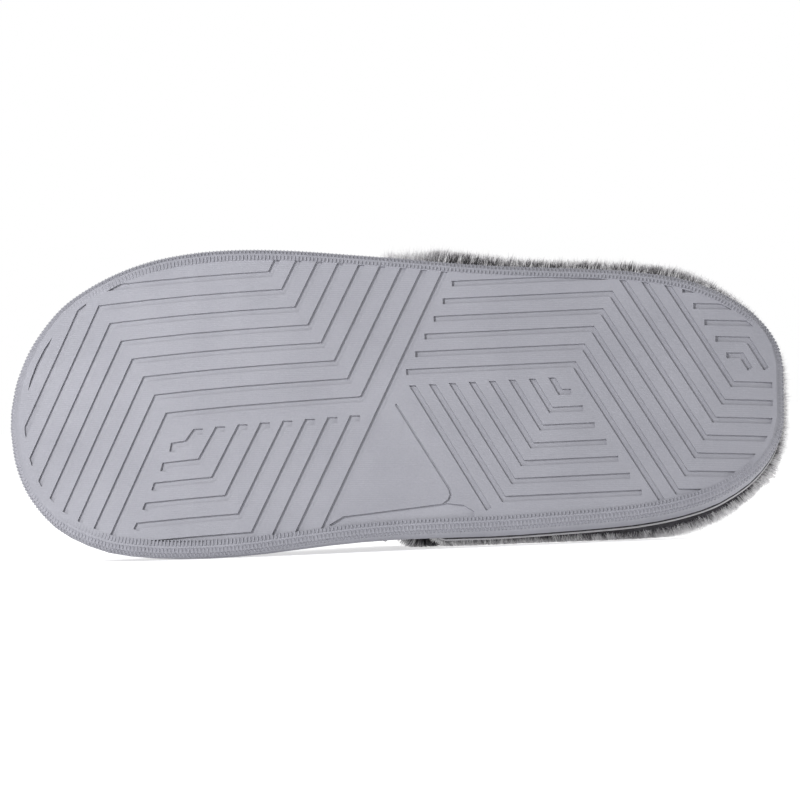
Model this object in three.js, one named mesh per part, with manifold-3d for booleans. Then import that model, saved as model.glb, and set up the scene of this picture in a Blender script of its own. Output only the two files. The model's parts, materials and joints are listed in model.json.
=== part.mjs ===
import * as THREE from 'three';
import { ConvexHull } from 'three/addons/math/ConvexHull.js';
import { mergeVertices } from 'three/addons/utils/BufferGeometryUtils.js';
import ManifoldModule from 'manifold-3d';

const kernel = await ManifoldModule();
kernel.setup();
const { Manifold, Mesh } = kernel;

// Overall sizes, in millimetres. The shoe is drawn standing: x runs heel to toe, y to the
// outer (lateral) side and z up from the ground. It is laid on its inner side at the end.
const SOLE_LENGTH = 258;
const BALL_WIDTH = 104;
const HALF_BALL = BALL_WIDTH / 2;
const TOE_SPRING = 17;
const HEEL_BEVEL = 3.5;
const INSTEP_HEIGHT = 68;
const TOE_BOX_HEIGHT = 45;
const PIECE_GAP = 0.3;

// Outsole wall and tread.
const HEEL_WALL = 15;
const TOE_WALL = 9;
const CORNER_INSET = 2.4;
const CORNER_RISE = 3.2;
const STEP_DEPTH = 0.6;
const GROOVE_WIDTH = 2;
const GROOVE_DEPTH = 1.1;
const PANEL_LINE_DEPTH = 0.6;
const PANEL_LINE_WIDTH = 0.7;
const TREAD_MARGIN = 3.9;
const TOE_MARGIN_GAIN = 0.9;
const CUT_LOW = -10;
const CUT_HIGH = 50;

// Upper.
const VAMP_WALL = 2.4;
const FEATHER_INSET = 2.6;
const RIDGE_SHIFT = -3;
const RIM_COLUMNS = 16;
const RIB_ROWS = 9;

const THROAT_LEAD = 1;
const THROAT_BLEND = 9;
const SOLE_STEPS = 38;
const PAD_STEPS = 24;

// Footbed and fur.
const BOARD_THICKNESS = 3.6;
const PILE_THICKNESS = 9;
const COLLAR_RADIUS = 6;
const LOCK_LENGTH = 4.8;
const LOCK_WIDTH = 5.4;
const LOCK_PITCH = 7.8;

// Sole outline: distance along the length and half widths as shares of the ball's half width.
const OUTLINE = [
  { along: 0, lateral: 0.24, medial: 0.1 },
  { along: 0.005, lateral: 0.365, medial: 0.225 },
  { along: 0.018, lateral: 0.482, medial: 0.346 },
  { along: 0.039, lateral: 0.59, medial: 0.47 },
  { along: 0.065, lateral: 0.679, medial: 0.568 },
  { along: 0.092, lateral: 0.743, medial: 0.643 },
  { along: 0.132, lateral: 0.809, medial: 0.71 },
  { along: 0.184, lateral: 0.849, medial: 0.763 },
  { along: 0.236, lateral: 0.869, medial: 0.792 },
  { along: 0.301, lateral: 0.879, medial: 0.82 },
  { along: 0.366, lateral: 0.89, medial: 0.845 },
  { along: 0.431, lateral: 0.91, medial: 0.86 },
  { along: 0.496, lateral: 0.938, medial: 0.878 },
  { along: 0.561, lateral: 0.962, medial: 0.91 },
  { along: 0.626, lateral: 0.985, medial: 0.956 },
  { along: 0.691, lateral: 0.995, medial: 1.0 },
  { along: 0.756, lateral: 0.984, medial: 1.016 },
  { along: 0.821, lateral: 0.935, medial: 1.0 },
  { along: 0.873, lateral: 0.849, medial: 0.951 },
  { along: 0.925, lateral: 0.707, medial: 0.827 },
  { along: 0.95, lateral: 0.591, medial: 0.722 },
  { along: 0.976, lateral: 0.409, medial: 0.548 },
  { along: 0.989, lateral: 0.26, medial: 0.4 },
  { along: 0.995, lateral: 0.16, medial: 0.29 },
  { along: 1, lateral: 0, medial: 0.12 },
];

// Rocker of the tread: rise above the ground as a share of the toe spring or heel bevel.
const ROCKER = [
  { along: 0, heel: 1, toe: 0 },
  { along: 0.04, heel: 0.4, toe: 0 },
  { along: 0.11, heel: 0, toe: 0 },
  { along: 0.64, heel: 0, toe: 0 },
  { along: 0.7, heel: 0, toe: 0.028 },
  { along: 0.76, heel: 0, toe: 0.111 },
  { along: 0.82, heel: 0, toe: 0.25 },
  { along: 0.88, heel: 0, toe: 0.444 },
  { along: 0.94, heel: 0, toe: 0.694 },
  { along: 1, heel: 0, toe: 1 },
];

// Grooves of the tread. Each family repeats one bent line: corner n of line k lies at
// along + k * alongStep of the length and across + k * acrossStep of the ball's half width.
// A family with a level start has its first end cut along the shoe, not square to the groove.
const GROOVE_FAMILIES = [
  {
    name: 'toe edge', first: 0, last: 0,
    corners: [
      { along: 1.0105, across: -0.2172 },
      { along: 0.9144, across: 0.877 },
    ],
  },
  {
    name: 'toe chevrons', first: 0, last: 7,
    corners: [
      { along: 0.9953, across: -0.34, alongStep: -0.0152, acrossStep: -0.1228 },
      { along: 0.8992, across: 0.7542, alongStep: -0.0152, acrossStep: -0.1228 },
      { along: 0.6629, across: 0.8194, alongStep: -0.0172, acrossStep: -0.1184 },
      { along: 0.5656, across: 1.8758, alongStep: -0.0172, acrossStep: -0.1177 },
    ],
  },
  {
    name: 'waist diagonal', first: 0, last: 0,
    corners: [
      { along: 0.426, across: 0.96 },
      { along: 0.602, across: -0.994 },
    ],
  },
  {
    name: 'ball steps', first: 0, last: 5,
    corners: [
      { along: 0.786, across: -0.3473, alongStep: 0.0112, acrossStep: -0.1257 },
      { along: 0.7844, across: -0.3044, alongStep: 0.0109, acrossStep: -0.1291 },
      { along: 0.7675, across: -0.294, alongStep: -0.0174, acrossStep: -0.1208 },
      { along: 0.7571, across: -0.2194, alongStep: -0.0288, acrossStep: 0.0117 },
      { along: 0.747, across: -0.2194, alongStep: -0.0288, acrossStep: 0.0117 },
    ],
  },
  {
    name: 'ball diagonals', first: 6, last: 7,
    corners: [
      { along: 0.8362, across: -1.07, alongStep: -0.0298, acrossStep: 0.019 },
      { along: 0.7571, across: -0.2194, alongStep: -0.0288, acrossStep: 0.0117 },
      { along: 0.747, across: -0.2194, alongStep: -0.0288, acrossStep: 0.0117 },
    ],
  },
  {
    name: 'heel stripes', first: -1, last: 6,
    corners: [
      { along: 0.416, across: 0.8744, alongStep: 0.0117, acrossStep: -0.1175 },
      { along: 0.1982, across: 0.9296, alongStep: 0.012, acrossStep: -0.1175 },
      { along: 0.079, across: -0.0178, alongStep: 0.0121, acrossStep: -0.1186 },
      { along: 0, across: -0.0178, alongStep: 0, acrossStep: -0.1186 },
    ],
  },
  {
    name: 'waist angles', first: 1, last: 7, levelStart: true,
    corners: [
      { along: 0.2734, across: 0.1432, alongStep: 0.0256, acrossStep: -0.0078 },
      { along: 0.2762, across: 0.1568, alongStep: 0.0121, acrossStep: -0.117 },
      { along: 0.2889, across: 0.1532, alongStep: -0.0149, acrossStep: -0.1101 },
    ],
  },
  {
    name: 'waist last', first: 0, last: 0, levelStart: true,
    corners: [
      { along: 0.4782, across: 0.081 },
      { along: 0.3799, across: -0.729 },
    ],
  },
  {
    name: 'heel dashes', first: 0, last: 2,
    corners: [
      { along: 0.13, across: 0.7207, alongStep: -0.014, acrossStep: -0.1079 },
      { along: 0.02, across: 0.7207, alongStep: 0, acrossStep: -0.1079 },
    ],
  },
  {
    name: 'heel hooks', first: 0, last: 1,
    corners: [
      { along: 0.088, across: 0.397, alongStep: -0.0139, acrossStep: -0.1078 },
      { along: 0.0461, across: 0.397, alongStep: 0.0084, acrossStep: -0.1055 },
      { along: 0.0227, across: 0.2064, alongStep: 0.0208, acrossStep: -0.0045 },
    ],
  },
];

// Fine line down the heel side of the bare triangular field of the inner waist, round its
// corner, and the deeper strip between that field and the rim.
const PANEL_SIDE = [
  { along: 0.4994, across: -0.0438 },
  { along: 0.4304, across: -0.598 },
  { along: 0.4285, across: -0.637 },
  { along: 0.4308, across: -0.669 },
  { along: 0.4388, across: -0.7 },
];
const WAIST_STRIP_CORNERS = [
  { along: 0.5655, across: -0.7789 },
  { along: 0.4338, across: -0.6909 },
  { along: 0.4123, across: -0.702 },
  { along: 0.3988, across: -0.7411 },
  { along: 0.39, across: -1.1 },
  { along: 0.61, across: -1.1 },
  { along: 0.5861, across: -0.8416 },
];

// Ridge of the vamp from its throat to the top of the toe box, as shares of the rise between
// the toe box height and the instep height.
const RIDGE = [
  { along: 0.56, rise: 1 },
  { along: 0.62, rise: 0.84 },
  { along: 0.68, rise: 0.62 },
  { along: 0.74, rise: 0.39 },
  { along: 0.8, rise: 0.18 },
  { along: 0.85, rise: 0.05 },
  { along: 0.885, rise: 0 },
];
const THROAT_LATERAL = 0.512;
const THROAT_MEDIAL = 0.476;

// Straight-line look up of one column of a table at a position along the shoe.
function lookUp(table, column, along) {
  const place = Math.min(Math.max(along, table[0].along), table[table.length - 1].along);
  let row = 1;
  while (row < table.length - 1 && table[row].along < place) row += 1;
  const before = table[row - 1];
  const after = table[row];
  const share = (place - before.along) / (after.along - before.along);
  return before[column] + share * (after[column] - before[column]);
}

// Smooth curve through the outline's rows, one side at a time.
function outlineCurve(column, sign) {
  const corners = OUTLINE.map((row) => new THREE.Vector3(
    row.along * SOLE_LENGTH,
    sign * row[column] * HALF_BALL,
    0,
  ));
  return new THREE.CatmullRomCurve3(corners, false, 'centripetal').getPoints(400);
}

const lateralEdge = outlineCurve('lateral', 1);
const medialEdge = outlineCurve('medial', -1);

// Half width of the sole at a place along it, signed, lateral side positive.
function edgeAcross(edge, x) {
  const place = Math.min(Math.max(x, 0), SOLE_LENGTH);
  let low = 0;
  let high = edge.length - 1;
  while (high - low > 1) {
    const middle = (low + high) >> 1;
    if (edge[middle].x <= place) low = middle;
    else high = middle;
  }
  const span = edge[high].x - edge[low].x;
  const share = span > 0 ? (place - edge[low].x) / span : 0;
  return edge[low].y + share * (edge[high].y - edge[low].y);
}

function midline(x) {
  return (edgeAcross(lateralEdge, x) + edgeAcross(medialEdge, x)) / 2;
}

function groundHeight(x) {
  const along = x / SOLE_LENGTH;
  return HEEL_BEVEL * lookUp(ROCKER, 'heel', along) + TOE_SPRING * lookUp(ROCKER, 'toe', along);
}

function wallHeight(x) {
  const share = Math.min(Math.max((x / SOLE_LENGTH - 0.3) / 0.55, 0), 1);
  return HEEL_WALL + (TOE_WALL - HEEL_WALL) * share * share * (3 - 2 * share);
}

function soleTop(x) {
  return groundHeight(x) + wallHeight(x);
}

// Outline as paired places heel to toe: the inner side first, then back along the outer side.
function outlinePlaces(steps, extra = []) {
  const stations = [...extra];
  for (let step = 0; step <= steps; step += 1) {
    const x = (SOLE_LENGTH * (1 - Math.cos((Math.PI * step) / steps))) / 2;
    if (!extra.some((place) => Math.abs(place - x) < 3)) stations.push(x);
  }
  stations.sort((a, b) => a - b);
  const inner = stations.map((x) => ({ x, y: edgeAcross(medialEdge, x), side: -1 }));
  const outer = stations.map((x) => ({ x, y: edgeAcross(lateralEdge, x), side: 1 })).reverse();
  const places = [...inner, ...outer];
  return places.map((place, index) => {
    const before = places[(index + places.length - 1) % places.length];
    const after = places[(index + 1) % places.length];
    const run = Math.hypot(after.x - before.x, after.y - before.y);
    return {
      ...place,
      outX: (after.y - before.y) / run,
      outY: -(after.x - before.x) / run,
    };
  });
}
const SOLE_PLACES = outlinePlaces(SOLE_STEPS);
const PAD_PLACES = outlinePlaces(PAD_STEPS, [THROAT_LATERAL, THROAT_MEDIAL].flatMap(
  (along) => [along * SOLE_LENGTH - THROAT_LEAD, along * SOLE_LENGTH - THROAT_LEAD - THROAT_BLEND],
));

// One ring round the shoe: pulled in from the outline and set at a height.
function outlineRing(places, insetAt, heightAt) {
  return places.map((place) => {
    const inset = insetAt(place.x, place.side);
    const x = place.x - inset * place.outX;
    const y = place.y - inset * place.outY;
    return [x, y, heightAt(x, place.side)];
  });
}

function solidFrom(points, faces) {
  const mesh = new Mesh({
    numProp: 3,
    vertProperties: new Float32Array(points.flat()),
    triVerts: new Uint32Array(faces.flat()),
  });
  mesh.merge();
  return new Manifold(mesh);
}

// The same, turned right side out if its faces were listed the other way round.
function outwardSolid(points, faces) {
  const solid = solidFrom(points, faces);
  if (solid.volume() > 0) return solid;
  return solidFrom(points, faces.map(([a, b, c]) => [a, c, b]));
}

// Skin over stacked rings, closed at both ends by strips that run straight across the shoe.
function loftRings(rings) {
  const count = rings[0].length;
  const faces = [];
  for (let ring = 0; ring < rings.length - 1; ring += 1) {
    for (let index = 0; index < count; index += 1) {
      const next = (index + 1) % count;
      const a = ring * count + index;
      const b = ring * count + next;
      faces.push([a, b, b + count], [a, b + count, a + count]);
    }
  }
  const top = (rings.length - 1) * count;
  for (let index = 0; index < count / 2 - 1; index += 1) {
    const mirror = count - 1 - index;
    faces.push([index, mirror, mirror - 1], [index, mirror - 1, index + 1]);
    faces.push(
      [top + index, top + mirror - 1, top + mirror],
      [top + index, top + index + 1, top + mirror - 1],
    );
  }
  return solidFrom(rings.flat(), faces);
}

function extrusion(outline, depth) {
  const shape = new THREE.Shape(outline.map(([x, y]) => new THREE.Vector2(x, y)));
  return new THREE.ExtrudeGeometry(shape, { depth, bevelEnabled: false });
}

function geometrySolid(geometry) {
  geometry.deleteAttribute('normal');
  geometry.deleteAttribute('uv');
  const merged = mergeVertices(geometry);
  return new Manifold(new Mesh({
    numProp: 3,
    vertProperties: merged.attributes.position.array,
    triVerts: merged.index.array,
  }));
}

// Slab across the whole shoe that follows the rocker between two offsets from the ground.
function rockerSlab(lower, upper) {
  const bottom = ROCKER.map((row) => [row.along * SOLE_LENGTH, groundHeight(row.along * SOLE_LENGTH)]);
  bottom[0][0] -= 5;
  bottom[bottom.length - 1][0] += 5;
  const outline = [
    ...bottom.map(([x, z]) => [x, z + lower]),
    ...bottom.map(([x, z]) => [x, z + upper]).reverse(),
  ];
  const slab = extrusion(outline, 2 * BALL_WIDTH);
  return geometrySolid(slab.rotateX(Math.PI / 2).translate(0, BALL_WIDTH, 0));
}

// Upright solid over a flat outline, between two heights.
function prism(outline, low, high) {
  return geometrySolid(extrusion(outline, high - low).translate(0, 0, low));
}

// Outline of a flat band of one width along a bent line, with mitred corners.
function bandAlong(line, width, levelStart = false) {
  const left = [];
  const right = [];
  line.forEach((point, index) => {
    const before = line[Math.max(index - 1, 0)];
    const after = line[Math.min(index + 1, line.length - 1)];
    const inward = new THREE.Vector2(point[0] - before[0], point[1] - before[1]);
    const outward = new THREE.Vector2(after[0] - point[0], after[1] - point[1]);
    if (index === 0) inward.copy(outward);
    if (index === line.length - 1) outward.copy(inward);
    inward.normalize();
    outward.normalize();
    const bisector = inward.clone().add(outward).normalize();
    const reach = width / 2 / Math.max(bisector.dot(inward), 0.3);
    const slide = levelStart && index === 0 ? (bisector.x / bisector.y) * reach : 0;
    left.push([
      point[0] - bisector.y * reach - bisector.x * slide,
      point[1] + bisector.x * reach - bisector.y * slide,
    ]);
    right.push([
      point[0] + bisector.y * reach + bisector.x * slide,
      point[1] - bisector.x * reach + bisector.y * slide,
    ]);
  });
  return [...right, ...left.reverse()];
}

function placeOnSole(corner, line = 0) {
  return [
    (corner.along + line * (corner.alongStep ?? 0)) * SOLE_LENGTH,
    (corner.across + line * (corner.acrossStep ?? 0)) * HALF_BALL,
  ];
}

function treadField() {
  const insetAt = (x) => {
    const share = Math.min(Math.max((x / SOLE_LENGTH - 0.78) / 0.12, 0), 1);
    return TREAD_MARGIN + TOE_MARGIN_GAIN * share;
  };
  return prism(outlineRing(SOLE_PLACES, insetAt, () => 0), CUT_LOW, CUT_HIGH);
}

function grooveBands() {
  const outlines = [WAIST_STRIP_CORNERS.map((corner) => placeOnSole(corner))];
  for (const family of GROOVE_FAMILIES) {
    for (let line = family.first; line <= family.last; line += 1) {
      const route = family.corners.map((corner) => placeOnSole(corner, line));
      outlines.push(bandAlong(route, GROOVE_WIDTH, family.levelStart));
    }
  }
  const bands = outlines.map((outline) => prism(outline, CUT_LOW, CUT_HIGH));
  return Manifold.union(bands).intersect(treadField());
}

function buildOutsole() {
  const stepAt = (x) => CORNER_RISE + 0.42 * (wallHeight(x) - CORNER_RISE);
  const rings = [
    outlineRing(SOLE_PLACES, () => CORNER_INSET + 0.2, (x) => groundHeight(x) - 0.6),
    outlineRing(SOLE_PLACES, () => 0.7, (x) => groundHeight(x) + 0.4 * CORNER_RISE),
    outlineRing(SOLE_PLACES, () => 0, (x) => groundHeight(x) + CORNER_RISE),
    outlineRing(SOLE_PLACES, () => 0, (x) => groundHeight(x) + stepAt(x)),
    outlineRing(SOLE_PLACES, () => STEP_DEPTH, (x) => groundHeight(x) + stepAt(x) + 0.5),
    outlineRing(SOLE_PLACES, () => 0.2, (x) => soleTop(x) - 0.8),
    outlineRing(SOLE_PLACES, () => 0.8, (x) => soleTop(x)),
  ];
  const body = loftRings(rings).subtract(rockerSlab(-8, 0));
  const grooves = grooveBands().intersect(rockerSlab(-4, GROOVE_DEPTH));
  const panelRoute = PANEL_SIDE.map((corner) => placeOnSole(corner));
  const panelLine = prism(bandAlong(panelRoute, PANEL_LINE_WIDTH), CUT_LOW, CUT_HIGH)
    .intersect(rockerSlab(-4, PANEL_LINE_DEPTH));
  return body.subtract(grooves).subtract(panelLine);
}

// Place on the feather line: the sole's edge moved in squarely by the feather inset.
function featherPlace(edge, side, along) {
  if (along >= 1) return [SOLE_LENGTH - FEATHER_INSET, midline(SOLE_LENGTH)];
  const x = along * SOLE_LENGTH;
  const step = Math.min(0.5, SOLE_LENGTH - x, x);
  const slope = (edgeAcross(edge, x + step) - edgeAcross(edge, x - step)) / (2 * step);
  const run = Math.hypot(1, slope);
  return [x + (FEATHER_INSET * side * slope) / run, edgeAcross(edge, x) - (FEATHER_INSET * side) / run];
}

// Grid of the vamp's outer face: columns go round the feather line from the outer throat
// corner over the toe to the inner throat corner, rows climb from the feather line to the ridge.
function vampColumns() {
  const columns = [];
  const halves = [
    { edge: lateralEdge, start: THROAT_LATERAL, side: 1 },
    { edge: medialEdge, start: THROAT_MEDIAL, side: -1 },
  ];
  for (const half of halves) {
    const list = [];
    for (let column = 0; column <= RIM_COLUMNS; column += 1) {
      const share = column / RIM_COLUMNS;
      const bend = Math.sin((share * Math.PI) / 2);
      const along = half.start + (1 - half.start) * (0.3 * share + 0.7 * bend);
      const [footX, footY] = featherPlace(half.edge, half.side, along);
      const ridgeAlong = RIDGE[0].along + (RIDGE[RIDGE.length - 1].along - RIDGE[0].along) * share;
      const ridgeX = ridgeAlong * SOLE_LENGTH;
      const ridgeY = midline(ridgeX) + RIDGE_SHIFT;
      const rise = lookUp(RIDGE, 'rise', ridgeAlong);
      const ridgeZ = TOE_BOX_HEIGHT + (INSTEP_HEIGHT - TOE_BOX_HEIGHT) * rise;
      const footZ = soleTop(footX) + PIECE_GAP;
      const points = [];
      for (let row = 0; row <= RIB_ROWS; row += 1) {
        const angle = (row / RIB_ROWS) * (Math.PI / 2);
        const over = 1 - Math.cos(angle) ** 0.95;
        const up = Math.sin(angle) ** 0.92;
        points.push(new THREE.Vector3(
          footX + (ridgeX - footX) * over,
          footY + (ridgeY - footY) * over,
          footZ + (ridgeZ - footZ) * up,
        ));
      }
      list.push(points);
    }
    columns.push(list);
  }
  return [...columns[0], ...columns[1].slice(0, -1).reverse()];
}

// Outward direction of the vamp's face at every grid point, shared where the ridge is met.
function columnNormals(columns) {
  const last = columns.length - 1;
  const at = (column, row) => {
    if (row > RIB_ROWS) return columns[last - column][2 * RIB_ROWS - row];
    return columns[Math.min(Math.max(column, 0), last)][Math.max(row, 0)];
  };
  return columns.map((points, column) => points.map((point, row) => {
    const alongRim = at(column + 1, row).clone().sub(at(column - 1, row));
    const upRib = at(column, row + 1).clone().sub(at(column, row - 1));
    const out = new THREE.Vector3().crossVectors(alongRim, upRib);
    if (row < RIB_ROWS) return out.normalize();
    if (out.z < 0) out.negate();
    return out.setY(0).normalize();
  }));
}

const vampOuter = vampColumns();

// The hollow vamp. A growth above zero gives the room it takes with that much air round it.
function buildVamp(growth = 0) {
  const normals = columnNormals(vampOuter);
  const flip = normals[2][2].y > 0 ? 1 : -1;
  const skinAt = (depth) => vampOuter.map((points, column) => points.map((point, row) => {
    const ridge = row === RIB_ROWS;
    const from = ridge ? Math.min(column, vampOuter.length - 1 - column) : column;
    const normal = normals[from][row].clone().multiplyScalar(ridge ? 1 : flip);
    const moved = point.clone().addScaledVector(normal, -depth);
    if (row === 0) moved.z = soleTop(moved.x) + PIECE_GAP - growth;
    if (column === 0 || column === vampOuter.length - 1) moved.x -= growth;
    return moved;
  }));
  const outer = skinAt(-growth);
  const inner = skinAt(VAMP_WALL + growth);
  const points = [];
  const faces = [];
  const rows = RIB_ROWS + 1;
  const columnCount = vampOuter.length;
  for (const skin of [outer, inner]) {
    for (const column of skin) for (const point of column) points.push(point.toArray());
  }
  const id = (skin, column, row) => skin * columnCount * rows + column * rows + row;
  for (let column = 0; column < columnCount - 1; column += 1) {
    for (let row = 0; row < RIB_ROWS; row += 1) {
      for (const skin of [0, 1]) {
        const quad = [
          id(skin, column, row), id(skin, column + 1, row),
          id(skin, column + 1, row + 1), id(skin, column, row + 1),
        ];
        if (skin === 1) quad.reverse();
        faces.push([quad[0], quad[2], quad[1]], [quad[0], quad[3], quad[2]]);
      }
    }
    const foot = [id(0, column, 0), id(0, column + 1, 0), id(1, column + 1, 0), id(1, column, 0)];
    faces.push([foot[0], foot[1], foot[2]], [foot[0], foot[2], foot[3]]);
  }
  for (const column of [0, columnCount - 1]) {
    for (let row = 0; row < RIB_ROWS; row += 1) {
      const strip = [
        id(0, column, row), id(1, column, row),
        id(1, column, row + 1), id(0, column, row + 1),
      ];
      if (column !== 0) strip.reverse();
      faces.push([strip[0], strip[1], strip[2]], [strip[0], strip[2], strip[3]]);
    }
  }
  return outwardSolid(points, faces);
}

// Share of the way from the open heel half to the covered toe half, just behind the throat.
function coveredShare(x, side) {
  const throat = (side > 0 ? THROAT_LATERAL : THROAT_MEDIAL) * SOLE_LENGTH - THROAT_LEAD;
  return Math.min(Math.max((x - (throat - THROAT_BLEND)) / THROAT_BLEND, 0), 1);
}

function insetBetween(heelInset, toeInset) {
  return (x, side) => heelInset + (toeInset - heelInset) * coveredShare(x, side);
}

// The insole board, the full width of the sole behind the throat and inside the vamp before it.
function buildBoard(growth = 0) {
  const inside = FEATHER_INSET + VAMP_WALL + 0.5;
  const rings = [
    { open: 0.9, covered: inside, height: -growth },
    { open: 0.3, covered: inside, height: 0.6 },
    { open: 0.3, covered: inside + 0.5, height: BOARD_THICKNESS - 0.8 },
    { open: 1.1, covered: inside + 1, height: BOARD_THICKNESS + growth },
  ];
  return loftRings(rings.map((ring) => outlineRing(
    PAD_PLACES,
    insetBetween(ring.open - growth, ring.covered - growth),
    (x) => soleTop(x) + PIECE_GAP + ring.height,
  )));
}

function pileBase(x) {
  return soleTop(x) + PIECE_GAP + BOARD_THICKNESS + PIECE_GAP;
}

// How far the pile stands out past the sole, in millimetres: it hangs free along the outer
// side and is pressed back along the inner side, which carries the slipper as it lies.
const OVERHANG = [
  { along: 0, lateral: 1.2, medial: 1 },
  { along: 0.03, lateral: 3, medial: 1.2 },
  { along: 0.07, lateral: 5.5, medial: 2.2 },
  { along: 0.13, lateral: 8, medial: 3 },
  { along: 0.2, lateral: 8.2, medial: 3 },
  { along: 0.27, lateral: 8, medial: 1.6 },
  { along: 0.34, lateral: 8, medial: 0.6 },
  { along: 0.52, lateral: 8.6, medial: 0.6 },
];

function overhang(x, side) {
  return lookUp(OVERHANG, side > 0 ? 'lateral' : 'medial', x / SOLE_LENGTH);
}

// Rings of the pile, bottom to top: height shares and insets where it lies open and where the
// vamp covers it, with the share of the overhang that each open ring takes.
const PILE_RINGS = [
  { open: 0, inset: 1.6, bulge: 0, covered: 0, coveredInset: 0.2, toe: 1 },
  { open: -0.1, inset: 0.4, bulge: 0.85, covered: 0.12, coveredInset: 0.4, toe: 1.5 },
  { open: 0.34, inset: 0, bulge: 1, covered: 0.34, coveredInset: 1, toe: 3 },
  { open: 0.8, inset: 1, bulge: 0.7, covered: 0.52, coveredInset: 2.4, toe: 5 },
  { open: 1, inset: 5, bulge: 0.2, covered: 0.6, coveredInset: 6, toe: 6 },
];

function pileRings() {
  const inside = FEATHER_INSET + VAMP_WALL + 0.6;
  return PILE_RINGS.map((ring) => {
    const toeInset = (x) => ring.toe * Math.min(Math.max((x / SOLE_LENGTH - 0.84) / 0.12, 0), 1);
    const insetAt = (x, side) => {
      const open = ring.inset - ring.bulge * overhang(x, side);
      const covered = inside + ring.coveredInset + toeInset(x);
      return open + (covered - open) * coveredShare(x, side);
    };
    const heightAt = (x, side) => {
      const share = ring.open + (ring.covered - ring.open) * coveredShare(x, side);
      return pileBase(x) + share * PILE_THICKNESS;
    };
    return outlineRing(PAD_PLACES, insetAt, heightAt);
  });
}

// Small repeatable scatter in 0..1, so that neighbouring locks differ.
function scatter(seed) {
  const value = Math.sin(seed * 12.9898 + 4.1414) * 43758.5453;
  return value - Math.floor(value);
}

// One tapered, bent lock of fur rooted inside the pile.
function furLock(root, direction, droop, length, width, twist) {
  const aim = direction.clone().normalize();
  const side = new THREE.Vector3().crossVectors(aim, new THREE.Vector3(0, 0, 1));
  if (side.lengthSq() < 0.01) side.set(1, 0, 0);
  side.normalize().applyAxisAngle(aim, twist);
  const lift = new THREE.Vector3().crossVectors(side, aim).normalize();
  const start = root.clone().addScaledVector(aim, -1.6);
  const middle = root.clone().addScaledVector(aim, 0.45 * length).addScaledVector(droop, 0.12 * length);
  const tip = root.clone().addScaledVector(aim, length).addScaledVector(droop, 0.42 * length);
  const points = [];
  for (const [centre, size] of [[start, width / 2], [middle, width / 3]]) {
    for (let corner = 0; corner < 3; corner += 1) {
      const angle = (corner * 2 * Math.PI) / 3;
      points.push(centre.clone()
        .addScaledVector(side, size * Math.cos(angle))
        .addScaledVector(lift, 0.75 * size * Math.sin(angle)).toArray());
    }
  }
  points.push(tip.toArray());
  const faces = [[0, 2, 1]];
  for (let corner = 0; corner < 3; corner += 1) {
    const next = (corner + 1) % 3;
    faces.push([corner, next, next + 3], [corner, next + 3, corner + 3]);
    faces.push([corner + 3, next + 3, 6]);
  }
  return outwardSolid(points, faces);
}

// Places at an even pitch along a polyline of 3-D points with outward directions.
function evenPlaces(line, pitch) {
  const found = [];
  let carried = pitch / 2;
  for (let index = 0; index < line.length - 1; index += 1) {
    const from = line[index];
    const to = line[index + 1];
    const run = from.point.distanceTo(to.point);
    while (carried <= run) {
      const share = carried / run;
      found.push({
        point: from.point.clone().lerp(to.point, share),
        out: from.out.clone().lerp(to.out, share).normalize(),
      });
      carried += pitch;
    }
    carried -= run;
  }
  return found;
}

function pileLocks() {
  const locks = [];
  const rows = [
    { bulge: 0.88, inset: 0.9, height: 0.6, rise: -0.3, length: 1 },
    { bulge: 1, inset: 0.8, height: 3.4, rise: 0.2, length: 1.05 },
    { bulge: 0.65, inset: 2, height: 7.4, rise: 1, length: 1.25 },
  ];
  const lead = 9;
  const count = SOLE_PLACES.length;
  rows.forEach((row, rowIndex) => {
    const line = [];
    for (let index = 0; index < count; index += 1) {
      const place = SOLE_PLACES[(index + count / 2) % count];
      const limit = (place.side > 0 ? THROAT_LATERAL : THROAT_MEDIAL) * SOLE_LENGTH - lead;
      if (place.x > limit) continue;
      const inset = row.inset - row.bulge * overhang(place.x, place.side);
      const x = place.x - inset * place.outX;
      const y = place.y - inset * place.outY;
      line.push({
        point: new THREE.Vector3(x, y, pileBase(x) + row.height),
        out: new THREE.Vector3(place.outX, place.outY, row.rise),
      });
    }
    evenPlaces(line, LOCK_PITCH).forEach((place, index) => {
      const seed = rowIndex * 131 + index;
      const root = place.point;
      const aim = place.out.clone().add(new THREE.Vector3(
        0.5 * (scatter(seed + 0.3) - 0.5),
        0.5 * (scatter(seed + 0.6) - 0.5),
        0.5 * (scatter(seed + 0.9) - 0.5),
      ));
      const droop = new THREE.Vector3(-0.5 * aim.y, 0.5 * aim.x, -0.5).multiplyScalar(scatter(seed) - 0.3);
      const length = LOCK_LENGTH * row.length * (0.75 + 0.5 * scatter(seed + 7));
      locks.push(furLock(root, aim, droop, length, LOCK_WIDTH, 2 * scatter(seed + 3)));
    });
  });
  const tuft = { first: 0.07, last: 0.4, rows: 5, across: 4 };
  for (let row = 0; row < tuft.rows; row += 1) {
    for (let column = 0; column < tuft.across; column += 1) {
      const seed = 400 + row * tuft.across + column;
      const x = (tuft.first + ((tuft.last - tuft.first) * row) / (tuft.rows - 1)) * SOLE_LENGTH;
      const spread = (column + 0.5 + 0.5 * (row % 2) - tuft.across / 2 - 0.25) * 17;
      const y = midline(x) + spread + 5 * (scatter(seed) - 0.5);
      const root = new THREE.Vector3(x, y, pileBase(x) + PILE_THICKNESS + 0.2);
      const aim = new THREE.Vector3(-1, 1.4 * (scatter(seed + 2) - 0.5), 0.42);
      const droop = new THREE.Vector3(0, 0, -0.3);
      locks.push(furLock(root, aim, droop, 2.4 * LOCK_LENGTH, 1.6 * LOCK_WIDTH, 0));
    }
  }
  return locks;
}

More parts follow.
